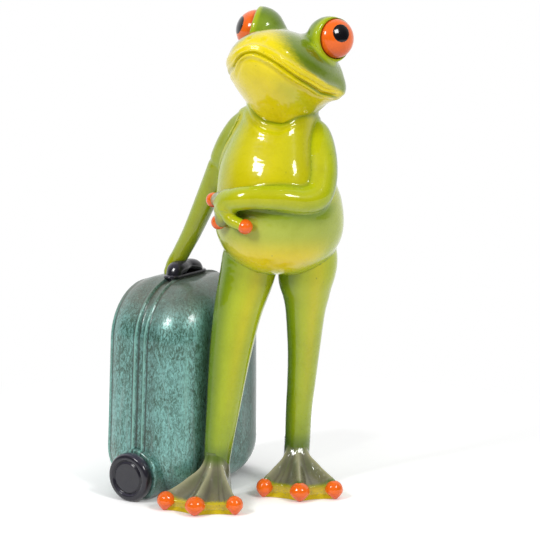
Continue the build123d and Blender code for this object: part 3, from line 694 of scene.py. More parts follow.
def skull():
    """Half width, snout or nape, and skull or jaw stretch a ball, and its rows rise and sink with the mouth. Along
    the normals come the mouth's groove, both lips, the ridge over the upper lip and the two nostrils."""
    s = np.linspace(-1, 1, 250)[:, None]
    height = np.pi / 2 * (0.25 * s + 0.75 * s**3)
    angle = (circle(264)[None, :] + np.pi) % (2 * np.pi) - np.pi
    over = np.where(height > 0, SKULL, JAW) * np.sin(height)
    up = over + mouth_height(angle) * np.cos(height) ** 4
    power = np.where(up > 0, 2.0, jaw_power(np.abs(np.sin(angle))))
    tall = np.minimum(np.abs(up) / np.where(up > 0, SKULL, JAW), 1)
    level = (1 - tall**power) ** (1 / power)
    left = HEAD_HALF_WIDTH * level * np.sin(angle)
    forward = level * np.cos(angle)
    forward = np.where(forward > 0, SNOUT, NAPE) * forward
    up = np.where(up < -JAW_START, -JAW_START + (up + JAW_START) * jaw_share(left), up)
    grid = from_head(left, forward, up + nape_rise(left, forward, up))
    sideways = np.abs(angle)
    calm = 1 - 0.8 * ease(-angle, 0.15, 0.5)
    crease = LIP_CREASE * bell(over - 1.25, 0.25) * ease(sideways, 0.2, 0.5)
    lips = (swells(over, LIPS) - crease) * calm - GROOVE_DEPTH * bell(over, GROOVE_WIDTH) * (0.4 + 0.6 * calm)
    hole = np.hypot(np.abs(left + NOSTRIL_SHIFT) - NOSTRIL_ASIDE, forward - NOSTRIL_FORWARD)
    nostril = -NOSTRIL_DEPTH * bell(hole, NOSTRIL_WIDTH) * ease(up, 2, 4)
    lift = lips * (1 - ease(sideways, 1.35, 1.56)) + nostril
    grid = grid + grid_normals(grid) * lift[..., None]
    return soften(grid, [hood_field], hood_reach(grid))


def hood(side):
    """A ball's outside up to the eye's widest ring, seen from the eye's middle, then a rounded collar back in to
    the eyeball. The way out to the ball is the root of the equation of a line that meets a sphere."""
    axis, middle = eye_axis(side), eye_middle(side)
    offset = hood_middle(side) - middle
    ring = turned([[0.0, 1.0]], np.zeros(3), axis, 120)
    angle = np.linspace(-np.pi / 2, 0, 64)[:, None, None]
    way = axis * np.sin(angle) + ring * np.cos(angle)
    ahead = way @ offset
    shell = way * (ahead + np.sqrt(ahead**2 + HOOD_RADIUS[side] ** 2 - offset @ offset))[..., None]
    edge = np.linalg.norm(shell[-1:], axis=-1, keepdims=True)
    rim = EYE_RADIUS[side]
    collar = np.maximum(edge - rim, 0.3) / 2
    roll = np.linspace(0, np.pi, 20)[1:, None, None]
    rounded = axis * collar * np.sin(roll) + ring * (rim + collar * (1 + np.cos(roll)))
    inside = [ring * (rim - step) - axis * depth for step, depth in ((0.3, 1.2), (0.9, 1.6), (rim, 1.6))]
    outside = middle + shell
    reach = hood_reach(outside) * np.cos(angle[..., 0]) ** 0.2 * ease(-angle[..., 0], 0.0, 0.5)
    outside = soften(outside, [head_field], np.maximum(reach, 0.01))
    return np.vstack([outside, middle + rounded, *(middle + row for row in inside)])


# %% [markdown]
# The face is lemon below the mouth and along the lips. Green starts just over the lip at the corner of the
# mouth and higher up towards the snout, and the crown is greyed by a painted sheen.

# %% Head colours
CROWN_SHEEN, ASH, HOOD_LIME, RIM_LIME = (linear(c) for c in ((166, 174, 126), (136, 142, 86), (146, 172, 30), (176, 192, 26)))
HOOD_FACING = unit(np.array([-0.3, -0.9, -0.2]))


def spray_head(points, normals):
    """Lemon jaw and lips, green cheeks and nape, a crown greyed as painted sheen, lime hoods with a brighter collar,
    and painted shade in the mouth's groove, beside the eyeballs and at the neck. The cheeks' border is stippled, as the
    spray of a gun is."""
    left, forward, up = in_head(points)
    round_it = round_head(left, forward)
    over, sideways = up - mouth_height(round_it), np.abs(round_it)
    border = 3.3 + 7.0 * (1 - ease(sideways, -0.15, 0.95)) ** 1.5 - 1.2 * bell(sideways - 1.5, 0.3)
    fade = 1.2 + 6.5 * (1 - ease(sideways, 0.35, 1.05))
    stipple = np.random.default_rng(7).uniform(-0.16, 0.16, len(points))
    cheek = ease((over - border) / fade + stipple, -0.3, 1.0) * ease(up, -1, 1)
    on_hood = 1 - ease(hood_field(points), 0.3, 1.6)
    hood_green = mix(LEAF, MOSS, 0.35)
    hood_tint = coats(hood_green, (HOOD_LIME, ease(normals @ HOOD_FACING, 0.1, 0.9)), (MOSS, 0.3 * ease(-left, 0, 4)))
    colour = coats(
        LEMON, (GOLD, 0.4 * bell(over + 6, 4) * ease(left, -6, 8)),
        (LIME, 0.65 * ease(-up, 2.5, 6) * ease(left, 4, 13)),
        (LIME, 0.8 * ease(-forward, -3, 4)),
        (LEAF, 0.95 * cheek),
        (MOSS, 0.6 * cheek * bell(sideways - 0.95, 0.5) * bell(over - 7, 5)),
        (ASH, 0.2 * bell(over - border - 1.6, 1.0) * ease(sideways, 0.65, 0.85) * ease(forward, 0, 4)),
        # Painted sheen: the crown turns pale grey where the white surroundings would reflect in the lacquer.
        (CROWN_SHEEN, 0.7 * ease(up, 10.5, 14.5) * (1 - ease(np.abs(left), 6, 11)) * ease(forward, -6, 4)),
        (MOSS, 0.6 * ease(-forward, 0, 8) * ease(up, -2, 6)),
        (hood_tint, 0.9 * on_hood),
    )
    for side, _ in SIDES:
        apart = points - eye_middle(side)
        beyond = apart @ eye_axis(side)
        out = np.sqrt(np.maximum(np.sum(apart**2, axis=-1) - beyond**2, 0)) - EYE_RADIUS[side]
        near = on_hood * (np.sign(left) == side)
        # Painted shade: dark green in the gap between the collar and the eyeball.
        collar, gap = ease(beyond, -1.2, 0.2), ease(beyond, -0.4, 0.0) * (1 - ease(out, 0.05, 0.4))
        colour = coats(colour, (RIM_LIME, 0.8 * near * collar), (MOSS, 0.8 * near * gap))
    # Painted shade: olive and green in the mouth's groove, and green in the crease at the neck.
    line = ease(1.6 - sideways, 0, 0.15) * (1 - on_hood)
    return coats(
        colour, (OLIVE, 0.7 * bell(over, 0.5) * line),
        (LEAF, 0.8 * bell(over, 0.4) * line * ease(sideways, 0.6, 1.1)),
        (LEAF, 0.6 * close_to(torso_field, points, 0.6)),
    )


piece("head_skin", [skull(), hood(1), hood(-1)], skin, spray_head, "head")

# %% [markdown]
# ## Eyes
# Each eye is a ball, and its pupil is a disc of the same ball a hair larger, so that it stands proud like a drop
# of black lacquer. The orange is given painted shade: redder underneath and towards the hood.

# %% Eyes and pupils
PUPIL_TURN, PUPIL_LIFT = {1: 39.0, -1: 50.0}, {1: 11.0, -1: -5.0}
PUPIL_RADIUS, PUPIL_PROUD, PUPIL_DEPTH = 2.85, 0.1, 0.5
FLAME, EMBER, INK = (linear(c) for c in ((242, 106, 24), (200, 56, 14), (16, 15, 19)))


def spray_eye(side):
    """The paint of one eye."""
    def spray(points, normals):
        """Bright orange at the middle, with painted shade in ember red underneath and at the rim under the hood."""
        beyond = (points - eye_middle(side)) @ eye_axis(side)
        # Painted shade: ember red on the underside and where the eye sinks under the hood.
        return coats(FLAME, (EMBER, 0.55 * ease(-normals[:, 2], 0.2, 0.9)), (EMBER, 1 - ease(beyond, 0.0, 1.5)))
    return spray


def spray_ink(points, normals):
    """Black all over."""
    return INK


def pupil(side):
    """A round cap of a ball slightly larger than the eye, closed underneath."""
    reach = EYE_RADIUS[side] + PUPIL_PROUD
    opening = np.arcsin(PUPIL_RADIUS / reach)
    angle = np.linspace(0, opening, 24)
    cap = np.stack([reach * np.cos(angle), reach * np.sin(angle)], -1)
    roll = np.linspace(0, 1, 6)[1:, None]
    edge = cap[-1] + roll * (-PUPIL_DEPTH, 0) + np.sin(np.pi * roll / 2) * (0, 0.08)
    profile = np.vstack([cap, edge, [[edge[-1, 0], 0.0]]])
    disc = turned(profile, eye_middle(side), look_direction(side, PUPIL_TURN[side], PUPIL_LIFT[side]), 64)
    return flattened(disc, side)


for side, word in SIDES:
    eyeball = flattened(ball(eye_middle(side), EYE_RADIUS[side], eye_axis(side), 70, 96), side)
    piece(word + "_eyeball", [eyeball], orange, spray_eye(side), word + "_eye", 0.004)
    piece(word + "_pupil_drop", [pupil(side)], black, spray_ink, word + "_pupil", 0.003)

# %% [markdown]
# ## Arms
# The left arm bends across the belly and ends in two fingers and a thumb with orange pads. The right arm hangs
# down to the suitcase and lays its palm over the handle. All are tubes along the paths set down above.

# %% Arm forms
FINGER_ROWS = (
    ((-15.2, -17.8, 99.9, 2.9), (-18.2, -14.6, 99.6, 2.4), (-19.6, -11.6, 98.9, 2.1)),
    ((-15.8, -17.2, 98.0, 2.9), (-17.6, -16.3, 95.2, 2.4), (-18.0, -15.4, 93.1, 2.1)),
    ((-16.2, -18.0, 97.8, 2.7), (-15.0, -20.4, 94.3, 2.1), (-11.0, -22.6, 92.5, 1.9)),
)
PAD_MIDDLES = ((-20.5, -10.6, 98.7), (-18.9, -14.2, 92.4), (-10.6, -22.7, 92.4))
PAD_RADIUS = 2.35


def spray_limb(points, normals):
    """Olive-yellow where the gun pointed, lime and then green round the sides, and painted green shade at the torso's
    crease.
    """
    facing = normals @ FRONT + 0.25 * normals[:, 2]
    return coats(
        MOSS, (LEAF, ease(facing, -0.9, -0.1)), (LIME, ease(facing, 0.0, 0.55)),
        # Painted shade: green in the crease at the torso.
        (OLIVE, 0.75 * ease(facing, 0.55, 1.05)), (LEAF, 0.65 * close_to(torso_field, points, 0.7)),
    )


def spray_hand(points, normals):
    """As the arms, with greyish fingers."""
    fingers = ease(on_arm_left(points), 0.1, 1.2) * ease(points[:, 1], -19.0, -17.0) * (points[:, 0] < -14)
    return mix(spray_limb(points, normals), WEB_GREY, 0.7 * fingers)


def spray_right_arm(points, normals):
    """As the arms, but greener."""
    return mix(spray_limb(points, normals), LEAF, 0.35)


def spray_pads(points, normals):
    """Orange, with painted shade: redder underneath."""
    return mix(FLAME, EMBER, 0.45 * ease(-normals[:, 2], 0.1, 0.9))


fingers = [smooth_curve(rows, 40) for rows in FINGER_ROWS]
left_arm = soften(tube(arm_left, 84, (0.25, -0.1, 1.0)), [torso_field], LEFT_BEAD)
left_arm = soften(left_arm, [limb_field(rows) for rows in fingers], KNUCKLE_BEAD)
finger_grids = [soften(tube(rows, 36, (0.3, 0.2, 1.0)), [on_arm_left], KNUCKLE_BEAD) for rows in fingers]
piece("left_arm_skin", [left_arm, *finger_grids], skin, spray_hand, "left_arm")
finger_ways = [rows[-1, :3] - rows[-8, :3] for rows in fingers]
finger_pads = [ball(np.array(middle), PAD_RADIUS, way) for middle, way in zip(PAD_MIDDLES, finger_ways)]
piece("left_finger_tips", finger_pads, orange, spray_pads, "left_finger_pads")
right_arm = soften(tube(arm_right, 84, (0.0, 1.0, 0.2)), [torso_field], RIGHT_BEAD)
piece("right_arm_skin", [right_arm], skin, spray_right_arm, "right_arm")

# %% [markdown]
# ## Legs
# Long tapering tubes. The belly hangs over them, and the crease shows as a green line of painted shade, so
# they stay separate pieces and only run softly into the belly at their outsides.

# %% Legs


def spray_leg(points, normals):
    """Green on the frog's right, lime in front with a yellow streak, and a darker ankle."""
    aside, height = normals[:, 0], points[:, 2]
    return coats(
        LEAF, (LIME, ease(aside, -0.85, -0.05)),
        (OLIVE, 0.7 * bell(aside - 0.3, 0.35) * ease(height, 20, 45)),
        (LEMON, 0.2 * bell(aside - 0.35, 0.2) * ease(height, 35, 60)),
        (LEAF, 0.6 * ease(normals[:, 1], 0.0, 0.9)),
        (LEAF, 0.2 * ease(66.0 - height, 0, 25) + 0.35 * ease(34.0 - height, 0, 18)),
        (MOSS, 0.8 * ease(21.0 - height, 0, 6)),
    )


for word, rows in (("left", leg_left), ("right", leg_right)):
    leg = soften(tube(rows, 84, (0, 1, 0)), [torso_field], LEG_BEAD)
    piece(word + "_leg_skin", [leg], skin, spray_leg, word + "_leg")

# %% [markdown]
# ## Webbed feet
# Seen from above, a foot is a fan: a round heel, straight sides and a hollow curve between each two toes. The
# surface runs from the ankle's circle out to that outline, over the edge, down the wall and back underneath.
# Three ridges lie over the toes, and the web sags between them.

# %% Feet
FOOT_REACH, HEEL_RADIUS, ANKLE_RADIUS, ANKLE_HEIGHT = 17.0, 4.7, 3.9, 16.0
EDGE_HEIGHT = {1: 5.6, -1: 4.8}
TOE_TURNS, TOE_REACHES = np.radians([-46.0, 0.0, 38.0]), FOOT_REACH * np.array([0.92, 1.0, 1.1])
TOE_PAD_RADIUS, TOE_PAD_SIZES = 3.0, (0.9, 1.08, 0.96)
WEB_HOLLOWS = (0.06, 0.07, 0.07, 0.06)
FOOT_PLACE = {1: (5.6, 13.0, -3.0), -1: (-19.8, -5.0, 24.0)}
WALL_LIME, RIDGE_GREY = linear((204, 182, 10)), linear((170, 167, 132))
toe_tips = np.stack([TOE_REACHES * np.sin(TOE_TURNS), -TOE_REACHES * np.cos(TOE_TURNS)], -1)
# Share of the way out from ankle to edge, share of the fall from the ankle to the web's edge.
INSTEP_SHARES = (
    (0.0, -0.1), (0.01, 0.0), (0.06, 0.17), (0.16, 0.36), (0.31, 0.55), (0.5, 0.73), (0.72, 0.88), (0.9, 0.98),
    (1.0, 1.05),
)


def foot_outline(count):
    """The fan in plan: heel arc, straight sides, and between two toes a parabola drawn in towards the ankle."""
    heel = np.radians(np.linspace(20, 160, 40))
    back = HEEL_RADIUS * np.stack([np.cos(heel), np.sin(heel)], -1)
    t = np.linspace(0, 1, 40)[:, None]
    run = [back]
    corners = [back[-1], *toe_tips, back[0]]
    for first, second, hollow in zip(corners, corners[1:], WEB_HOLLOWS):
        run.append((first * (1 - t) + second * t) * (1 - hollow * 4 * t * (1 - t)))
    return equal_steps(np.vstack(run), count)


def along_toe(plan, tip, width):
    """A bell across the line from the ankle to a toe's tip, and nothing behind the ankle."""
    ahead = plan @ unit(tip)
    gap = np.linalg.norm(plan - ahead[..., None] * unit(tip), axis=-1)
    return bell(gap, width) * (ahead > 0)


def to_foot(plan, height, side):
    """Points from a foot's own directions, mirrored for the right side, turned and set under the ankle."""
    x, y, turn = FOOT_PLACE[side]
    points = np.concatenate([plan * (side, 1), height], -1)
    return points @ rotation(-turn, 2).T + (x, y, 0)


def foot(side):
    """From the ankle out along the instep, over the edge, down the wall to the ground and in underneath."""
    rim = foot_outline(220)
    ankle = unit(rim) * ANKLE_RADIUS
    steps = smooth_curve(INSTEP_SHARES, 60)
    out, fall = np.clip(steps[:, :1, None], 0, 1), steps[:, 1:, None]
    top = ankle * (1 - out) + rim * out
    ridge = np.max([along_toe(top, tip, 1.5) for tip in toe_tips], axis=0)[..., None]
    sag = ease(np.linalg.norm(top, axis=-1, keepdims=True), 5.0, 11.0)
    height = ANKLE_HEIGHT - fall * (ANKLE_HEIGHT - EDGE_HEIGHT[side]) + sag * (1.2 * ridge - 1.0 * (1 - ridge))
    wall = np.linspace(0, 1, 16)[1:, None, None]
    wall_plan = rim - unit(rim) * 0.5 * np.sin(np.pi * wall)
    wall_height = height[-1:] * (1 - wall) + 0.05 * wall
    under = np.array([0.97, 0.5, 0.0])[:, None, None]
    plan = np.vstack([np.zeros_like(top[:1]), top, wall_plan, rim * under])
    height = np.vstack([height[:1] + 0.5, height, wall_height, np.zeros((3, *height.shape[1:]))])
    return to_foot(plan, height, side)
def spray_foot(side):
    """The paint of one foot, which follows its toes and its outline."""
    x, y, _ = FOOT_PLACE[side]
    outline = foot_outline(220)
    tips, rim = (to_foot(line, np.zeros((len(line), 1)), side)[:, :2] - (x, y) for line in (toe_tips, outline))
    rim_turn, rim_reach = np.arctan2(rim[:, 1], rim[:, 0]), np.linalg.norm(rim, axis=-1)

    def spray(points, normals):
        """Grey-brown web with streaks, paler toes, green over the ankle and a lime wall at the edge."""
        height, plan = points[:, 2], points[:, :2] - (x, y)
        turn = np.arctan2(plan[:, 1], plan[:, 0])
        streak = (0.5 + 0.5 * np.sin(31 * turn + 2.4 * np.sin(9 * turn))) ** 3
        stipple = np.random.default_rng(5).uniform(-0.03, 0.03, len(points))
        edge = np.interp(turn, rim_turn, rim_reach, period=2 * np.pi)
        wall = ease(np.linalg.norm(plan, axis=-1) / edge + stipple, 0.9, 0.98) * ease(7.5 - height, 0, 1.5)
        return coats(
            WEB_GREY, (WEB_GREY * 0.4, 0.65 * streak),
            (MOSS * 0.5, 0.45 * bell(height - 9.5, 3.0) * (1 - streak)),
            *((RIDGE_GREY, 0.8 * along_toe(plan, tip, 0.9)) for tip in tips),
            (MOSS, 0.8 * ease(height, 12.0, 15.5)),
            (mix(MOSS, WALL_LIME, ease(4.6 - height, -1, 1.6)), 0.95 * wall),
            (LIME, 0.8 * ease(normals[:, 1], 0.2, 0.8) * ease(9 - height, 0, 3)),
        )
    return spray


def toe_pad(tip, side, size):
    """A ball that narrows downwards to a blunt point in front, like a drop of thick paint that ran to the ground."""
    middle = to_foot(tip[None] * 0.97, np.array([[TOE_PAD_RADIUS + 0.05]]), side)[0]
    way = unit(to_foot(tip[None], np.zeros((1, 1)), side)[0] - (*FOOT_PLACE[side][:2], 0))
    apart = ball(middle, TOE_PAD_RADIUS, (0, 0, 1), 44, 60) - middle
    low = ease(-apart[..., 2:], 0.2, TOE_PAD_RADIUS)
    return middle + apart * (size, size, 1) * (1 - low * (0.34, 0.34, 0)) + way * low * 0.5


for side, word in SIDES:
    piece(word + "_foot_web", [foot(side)], skin, spray_foot(side), word + "_foot")
    pads = [toe_pad(tip, side, size) for tip, size in zip(toe_tips, TOE_PAD_SIZES)]
    piece(word + "_toe_drops", pads, orange, spray_pads, word + "_toe_pads")

# %% [markdown]
# ## Suitcase
# The body is one rounded block. Its outline, seen from the broad side, is a rectangle with one leaning end and
# round corners. A section is carried along that outline: panel, round edge, side wall with the zip, round edge
# and rear panel. The zip is two raised ridges with a sunk band between, and a thin piping runs round the rear.

# %% Suitcase form
CASE_PLACE, CASE_TURN = np.array([-45.8, -0.4, 0.0]), 55.0
CASE_HEIGHT, CASE_WIDTH, CASE_TOP_WIDTH, CASE_THICK, CASE_LIFT = 68.5, 49.4, 45.4, 36.4, 0.6
CORNER_RADII, EDGE_RADIUS = np.array([[14.0], [14.0], [14.0], [19.5]]), 12.5
RIDGE_HEIGHT, RIDGE_OUT, ZIP_DEPTH, PIPING_INSET = 0.6, 1.85, 0.5, 5.0
WHEEL_RADIUS, WHEEL_WIDTH, ARCH_RADIUS, ARCH_REACH = 7.8, 3.8, 8.5, 0.9


def from_case(points):
    """Points from the suitcase's own directions: along its width, through its thickness, and up."""
    return np.asarray(points) @ rotation(CASE_TURN, 2).T + CASE_PLACE


def in_case(points):
    """The suitcase's own directions of points."""
    return (points - CASE_PLACE) @ rotation(CASE_TURN, 2)


def hub(end, out):
    """The point of a wheel's axle that far out from the near end, -1, or the far end, 1, of the suitcase."""
    return np.array([-out if end < 0 else CASE_WIDTH + out, 0, WHEEL_RADIUS])


def case_outline(count):
    """The broad side's outline: straight lines between corners, each corner an arc, the widest over the near
    wheel."""
    corners = np.array([
        (0, CASE_LIFT), (CASE_WIDTH, CASE_LIFT), (CASE_WIDTH, CASE_HEIGHT), (CASE_WIDTH - CASE_TOP_WIDTH, CASE_HEIGHT),
    ])
    before, after = unit(np.roll(corners, 1, 0) - corners), unit(np.roll(corners, -1, 0) - corners)
    half = np.arccos(np.sum(before * after, -1, keepdims=True)) / 2
    centre = corners + unit(before + after) * CORNER_RADII / np.sin(half)
    start = corners + before * CORNER_RADII / np.tan(half) - centre
    sweep = (np.pi - 2 * half) * np.linspace(0, 1, 40)
    c, s = np.cos(sweep)[..., None], np.sin(sweep)[..., None]
    across = np.stack([-start[:, 1], start[:, 0]], -1)
    arcs = (centre[:, None] + c * start[:, None] + s * across[:, None]).reshape(-1, 2)
    return equal_steps(arcs, count)


def zip_swell(depth):
    """How far the side wall stands out: a flat-topped ridge on each side of the zip and a sunk band between."""
    return RIDGE_HEIGHT * bell((np.abs(depth) - RIDGE_OUT) ** 2, 0.36) - ZIP_DEPTH * bell(depth**2, 1.2)


def case_block():
    """The section carried along the outline, each of its rows an inset of the outline at one depth."""
    rim = case_outline(360)
    step = np.roll(rim, -1, 0) - np.roll(rim, 1, 0)
    outwards = unit(np.stack([step[:, 1], -step[:, 0]], -1))
    half, edge = CASE_THICK / 2, EDGE_RADIUS
    bend = np.radians(np.linspace(0, 90, 46))
    wall = np.linspace(-(half - edge), half - edge, 70)[1:-1]
    round_off, round_in = edge * (1 - np.sin(bend)), edge * (1 - np.cos(bend))
    piping = RIDGE_HEIGHT * bell((PIPING_INSET - round_in) ** 2, 0.3)
    inset = np.concatenate([round_off, -zip_swell(wall), (round_off - piping * 0.8)[::-1]])
    depth = np.concatenate([round_in - half, wall, (half - round_in + piping * 0.6)[::-1]])
    ring = rim - outwards * inset[:, None, None]
    depth = np.broadcast_to(depth[:, None, None], (*ring.shape[:2], 1))
    ring = np.concatenate([ring[..., :1], depth, ring[..., 1:]], -1)
    middle = rim.mean(axis=0)
    share = np.linspace(0, 1, 14)[:-1, None, None]
    panels = []
    for edge_row, sign in ((ring[0], -1), (ring[-1], 1)):
        centre = np.array([middle[0], edge_row[0, 1], middle[1]])
        panel = centre + (edge_row - centre) * share
        panel[..., 1:2] += sign * 0.5 * (1 - share**2)
        panels.append(panel)
    return np.vstack([panels[0], ring, panels[1][::-1]])


def wheel_arch(end):
    """The boss behind a wheel: a short round block with a rolled edge."""
    roll = np.linspace(0, np.pi / 2, 10)
    edge = np.stack([-0.9 + 0.9 * np.sin(roll), ARCH_RADIUS - 0.9 + 0.9 * np.cos(roll)], -1)
    profile = np.vstack([[[-12, 0], [-12, 6]], [[-9, ARCH_RADIUS]], edge, [[0, ARCH_RADIUS - 2.5], [0, 0]]])
    grid = turned(profile, hub(end, ARCH_REACH), (end, 0, 0), 96)
    grid[..., 2] = np.maximum(grid[..., 2], CASE_LIFT)
    return grid


def spray_case(points, normals):
    """Shares of dust on the top, of dark seams with painted shade low down and by the leg, and of rubbed ridges with a
    painted highlight on the near corner.
    """
    along, depth, height = np.moveaxis(in_case(points), -1, 0)
    dust = ease(normals[:, 2], 0.25, 0.85) * ease(height, 40, 60)
    at_wall = np.abs(depth) < CASE_THICK / 2 - EDGE_RADIUS
    from_ridge, piping = np.abs(depth) - RIDGE_OUT, depth - (CASE_THICK / 2 - PIPING_INSET)
    seam_and_shade = at_wall * (bell(from_ridge + 0.95, 0.28) + bell(from_ridge - 0.9, 0.25))
    # Dark paint beside the piping, and painted shade that darkens the suitcase low down.
    seam_and_shade = seam_and_shade + bell(np.abs(piping) - 0.85, 0.3) + 0.55 * ease(9 - height, 0, 9)
    rubbed_and_highlight = at_wall * bell(from_ridge, 0.3) + bell(piping, 0.35)
    aside = -(normals @ rotation(CASE_TURN, 2))[:, 1]
    # Painted highlight: a pale band on the near corner, where a soft box would reflect.
    rubbed_and_highlight = rubbed_and_highlight + 0.45 * bell(aside - 0.76, 0.05) * bell(height - 38, 14)
    # Painted shade: darker on the broad side turned away by the leg, and on a band of the near end beside the zip.
    seam_and_shade = seam_and_shade + 0.3 * ease(aside, 0.82, 0.95) + 0.3 * bell(depth + 4.6, 1.6) * (along < 9)
    return np.stack([dust, np.clip(seam_and_shade, 0, 1), np.clip(rubbed_and_highlight, 0, 1)], -1)


case_grids = [from_case(grid) for grid in (case_block(), wheel_arch(-1), wheel_arch(1))]
piece("suitcase_shell", case_grids, teal, spray_case, "suitcase_body")

# %% [markdown]
# ## Wheels and handle
# A wheel is a profile turned round its axle: round tyre, sunk ring and raised hub. The handle is an oval bar
# carried along a path that rises, runs along the top and comes down, on a thin plate.

# %% Wheels and handle
COAL, SLATE = linear((34, 33, 42)), linear((70, 65, 84))


WHEEL_ROWS = (
    (-5.0, 0.0), (-5.0, 1.9), (-0.02, 1.95), (0.0, 5.0), (0.0, 6.4), (0.35, 7.35), (1.3, 7.8), (3.0, 7.8),
    (4.05, 7.35), (4.4, 6.5), (4.3, 5.9), (3.75, 5.45), (3.75, 5.2), (4.15, 4.75), (4.2, 4.2), (4.2, 2.0), (4.22, 0.0),
)
SPIGOT_ROWS, ROWS_WIDTH, WHEEL_GAP = 3, 4.4, 0.1


def wheel(end):
    """A spigot with straight lines, then a smooth curve: the tyre's edge, a shallow hollow and a low, flat hub."""
    tyre = smooth_curve(WHEEL_ROWS[SPIGOT_ROWS:], 110)
    profile = np.vstack([WHEEL_ROWS[:SPIGOT_ROWS], tyre]) * (WHEEL_WIDTH / ROWS_WIDTH, 1)
    return turned(profile, hub(end, ARCH_REACH + WHEEL_GAP), (end, 0, 0), 110)


def spray_coal(points, normals):
    """Charcoal, with a painted bluish-grey sheen on surfaces that face up."""
    return mix(COAL, SLATE, 0.6 * ease(normals[:, 2], 0.3, 1.0))


for end, word in ((-1, "near"), (1, "far")):
    piece(word + "_wheel_disc", [from_case(wheel(end))], charcoal, spray_coal, word + "_wheel", 0.006)

HANDLE_LENGTH, BAR_HALF_WIDTH, BAR_WIDENING = 15.5, 2.75, 1.3
handle_middle = CASE_WIDTH - CASE_TOP_WIDTH / 2


def handle_bar():
    """A tube along the handle's path, widened across so that its section is an oval, with two soft swells."""
    half = HANDLE_LENGTH / 2 - 1.8
    rows = (
        (-half - 0.2, 0, -0.6, 1.85), (-half, 0, 1.3, 2.05), (-half * 0.8, 0, 2.9, 2.3), (-half * 0.4, 0, 3.2, 2.25),
        (0.4, 0, 3.45, 1.8), (half * 0.45, 0, 3.2, 2.0), (half * 0.82, 0, 2.5, 2.1), (half + 0.1, 0, 1.1, 1.9),
        (half + 0.3, 0, -0.6, 1.75),
    )
    grid = tube(smooth_curve(rows, 90), 60, (0, 1, 0)) * (1, BAR_WIDENING, 1)
    return grid + (handle_middle, 0, CASE_HEIGHT)


def handle_plate():
    """A flat oblong with round ends and a rolled edge: a circle whose halves are moved apart, and insets of it."""
    c, s = np.cos(circle(96)), np.sin(circle(96))
    apart = (HANDLE_LENGTH / 2 - 0.85) * np.sign(c) * (np.abs(c) > 1e-6)
    oval = np.stack([c * BAR_HALF_WIDTH + apart, s * BAR_HALF_WIDTH], -1)
    rows = np.array([(0.0, 0.62), (0.8, 0.62), (0.96, 0.6), (1.0, 0.35), (1.0, -0.2), (0.9, -0.4), (0.0, -0.4)])
    plan = oval * rows[:, :1, None]
    height = np.broadcast_to(rows[:, 1:, None], (*plan.shape[:2], 1))
    return np.concatenate([plan, height], -1) + (handle_middle, 0, CASE_HEIGHT + RIDGE_HEIGHT + 0.1)


grip = [from_case(handle_bar()), from_case(handle_plate())]
piece("handle_grip", grip, charcoal, spray_coal, "suitcase_handle")

# %% [markdown]
# ## Studio
# A pale floor, two soft boxes and an even white surrounding. The floor and the world are white to the camera
# and to reflections. The floor keeps the shadow of the object, and is darker where little of the sky can reach
# it, close under the feet and the suitcase.

# %% Floor, lights and world
FLOOR_HALF, NEAR_FLOOR, FAR_FLOOR = 3.0, 0.065, 0.17
FLOOR_GREY, SEEN_GAIN, CONTACT_SHADE, CONTACT_REACH = 0.78, 0.42, 0.5, 0.03
floor_mesh = bpy.data.meshes.new("floor")
corners = [(x * FLOOR_HALF, y * FLOOR_HALF, 0) for x, y in ((-1, -1), (1, -1), (1, 1), (-1, 1))]
floor_mesh.from_pydata(corners, [], [(0, 1, 2, 3)])
floor = bpy.data.objects.new("floor", floor_mesh)
bpy.context.scene.collection.objects.link(floor)
floor_paint, unused_shader, spot = new_material("pale_floor")
tree = floor_paint.node_tree
tree.nodes.remove(unused_shader)
seen = spot.math("MAXIMUM", *spot.add("ShaderNodeLightPath").outs("Is Camera Ray", "Is Glossy Ray"))
far_out = spot.add("ShaderNodeVectorMath", {"operation": "LENGTH"}, out=1, i0=spot).between(NEAR_FLOOR, FAR_FLOOR)
glow = spot.add("ShaderNodeEmission", Color=(1, 1, 1, 1), Strength=0.25 - 0.15 * seen)
open_sky = spot.add("ShaderNodeAmbientOcclusion", {"samples": 8}, out=1, Distance=CONTACT_REACH)
matt = spot.add("ShaderNodeBsdfDiffuse", Color=FLOOR_GREY + seen * (SEEN_GAIN - CONTACT_SHADE * (1 - open_sky)))
near_floor = spot.add("ShaderNodeAddShader", i0=glow, i1=matt)
white = spot.add("ShaderNodeEmission", Color=(1, 1, 1, 1), Strength=0.8 + 0.2 * seen)
both = spot.add("ShaderNodeMixShader", i0=far_out, i1=near_floor, i2=white)
fill(tree.nodes["Material Output"], Surface=both)
floor_mesh.materials.append(floor_paint)

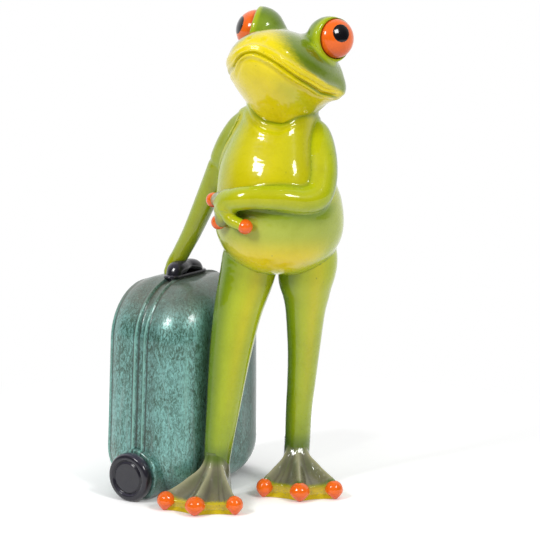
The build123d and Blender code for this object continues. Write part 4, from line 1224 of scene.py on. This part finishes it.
world = bpy.data.worlds.new("white_tent")
bpy.context.scene.world = world
world.use_nodes = True
tree = world.node_tree
start = Socket(tree)
seen, through, mirrored = start.add("ShaderNodeLightPath").outs(
    "Is Camera Ray", "Is Transmission Ray", "Is Glossy Ray")
behind, over = start.add("ShaderNodeSeparateXYZ", Vector=start.add("ShaderNodeTexCoord")).outs(1, 2)
tent = 0.05 + 0.6 * behind.between(-0.2, 0.7) + 0.3 * over.between(0.2, 0.9)
shown = start.math("MAXIMUM", start.math("MAXIMUM", seen, through), mirrored * behind.between(0.0, 0.5))
fill(tree.nodes["Background"], Strength=tent * (1 - shown) + shown, Color=(1, 1, 1, 1))


def soft_box(name, place, size, power):
    """A square lamp that faces the middle of the frog."""
    light = bpy.data.lights.new(name, "AREA")
    light.shape, light.size, light.energy = "SQUARE", size, power
    lamp = bpy.data.objects.new(name, light)
    aim = Vector((hip_point[0] * MM, hip_point[1] * MM, 0.09))
    lamp.location = Vector(place)
    lamp.rotation_euler = (aim - lamp.location).to_track_quat("-Z", "Y").to_euler()
    bpy.context.scene.collection.objects.link(lamp)


soft_box("left_box", (-0.63, -0.63, 0.74), 0.28, 6.8)
soft_box("right_box", (0.57, -0.68, 0.74), 0.28, 5.7)
print("floor, world and two soft boxes are set")

# %% [markdown]
# ## Camera
# A long lens from a little above, at the angle of the reference picture. The size of its sensor and the lens
# give the same framing as 2853 pixels of focal length on a square picture of 540 pixels.

# %% Camera
FOCAL_PIXELS, PICTURE_PIXELS, SENSOR = 2853.0, 540.0, 36.0
CAMERA_DISTANCE, CAMERA_ELEVATION = 900.0, 11.0
AIM = np.array([-3.0, 0.0, 74.5])
lens = bpy.data.cameras.new("camera")
lens.sensor_width, lens.lens = SENSOR, FOCAL_PIXELS * SENSOR / PICTURE_PIXELS
camera = bpy.data.objects.new("camera", lens)
bpy.context.scene.collection.objects.link(camera)
lift = np.radians(CAMERA_ELEVATION)
camera_place = AIM + hip_point + CAMERA_DISTANCE * np.array([0, -np.cos(lift), np.sin(lift)])
camera.location = camera_place * MM
camera.rotation_euler = (np.pi / 2 - lift, 0, 0)
bpy.context.scene.camera = camera
bpy.context.scene.view_settings.view_transform = "Standard"
print("lens", round(lens.lens, 1), "mm")
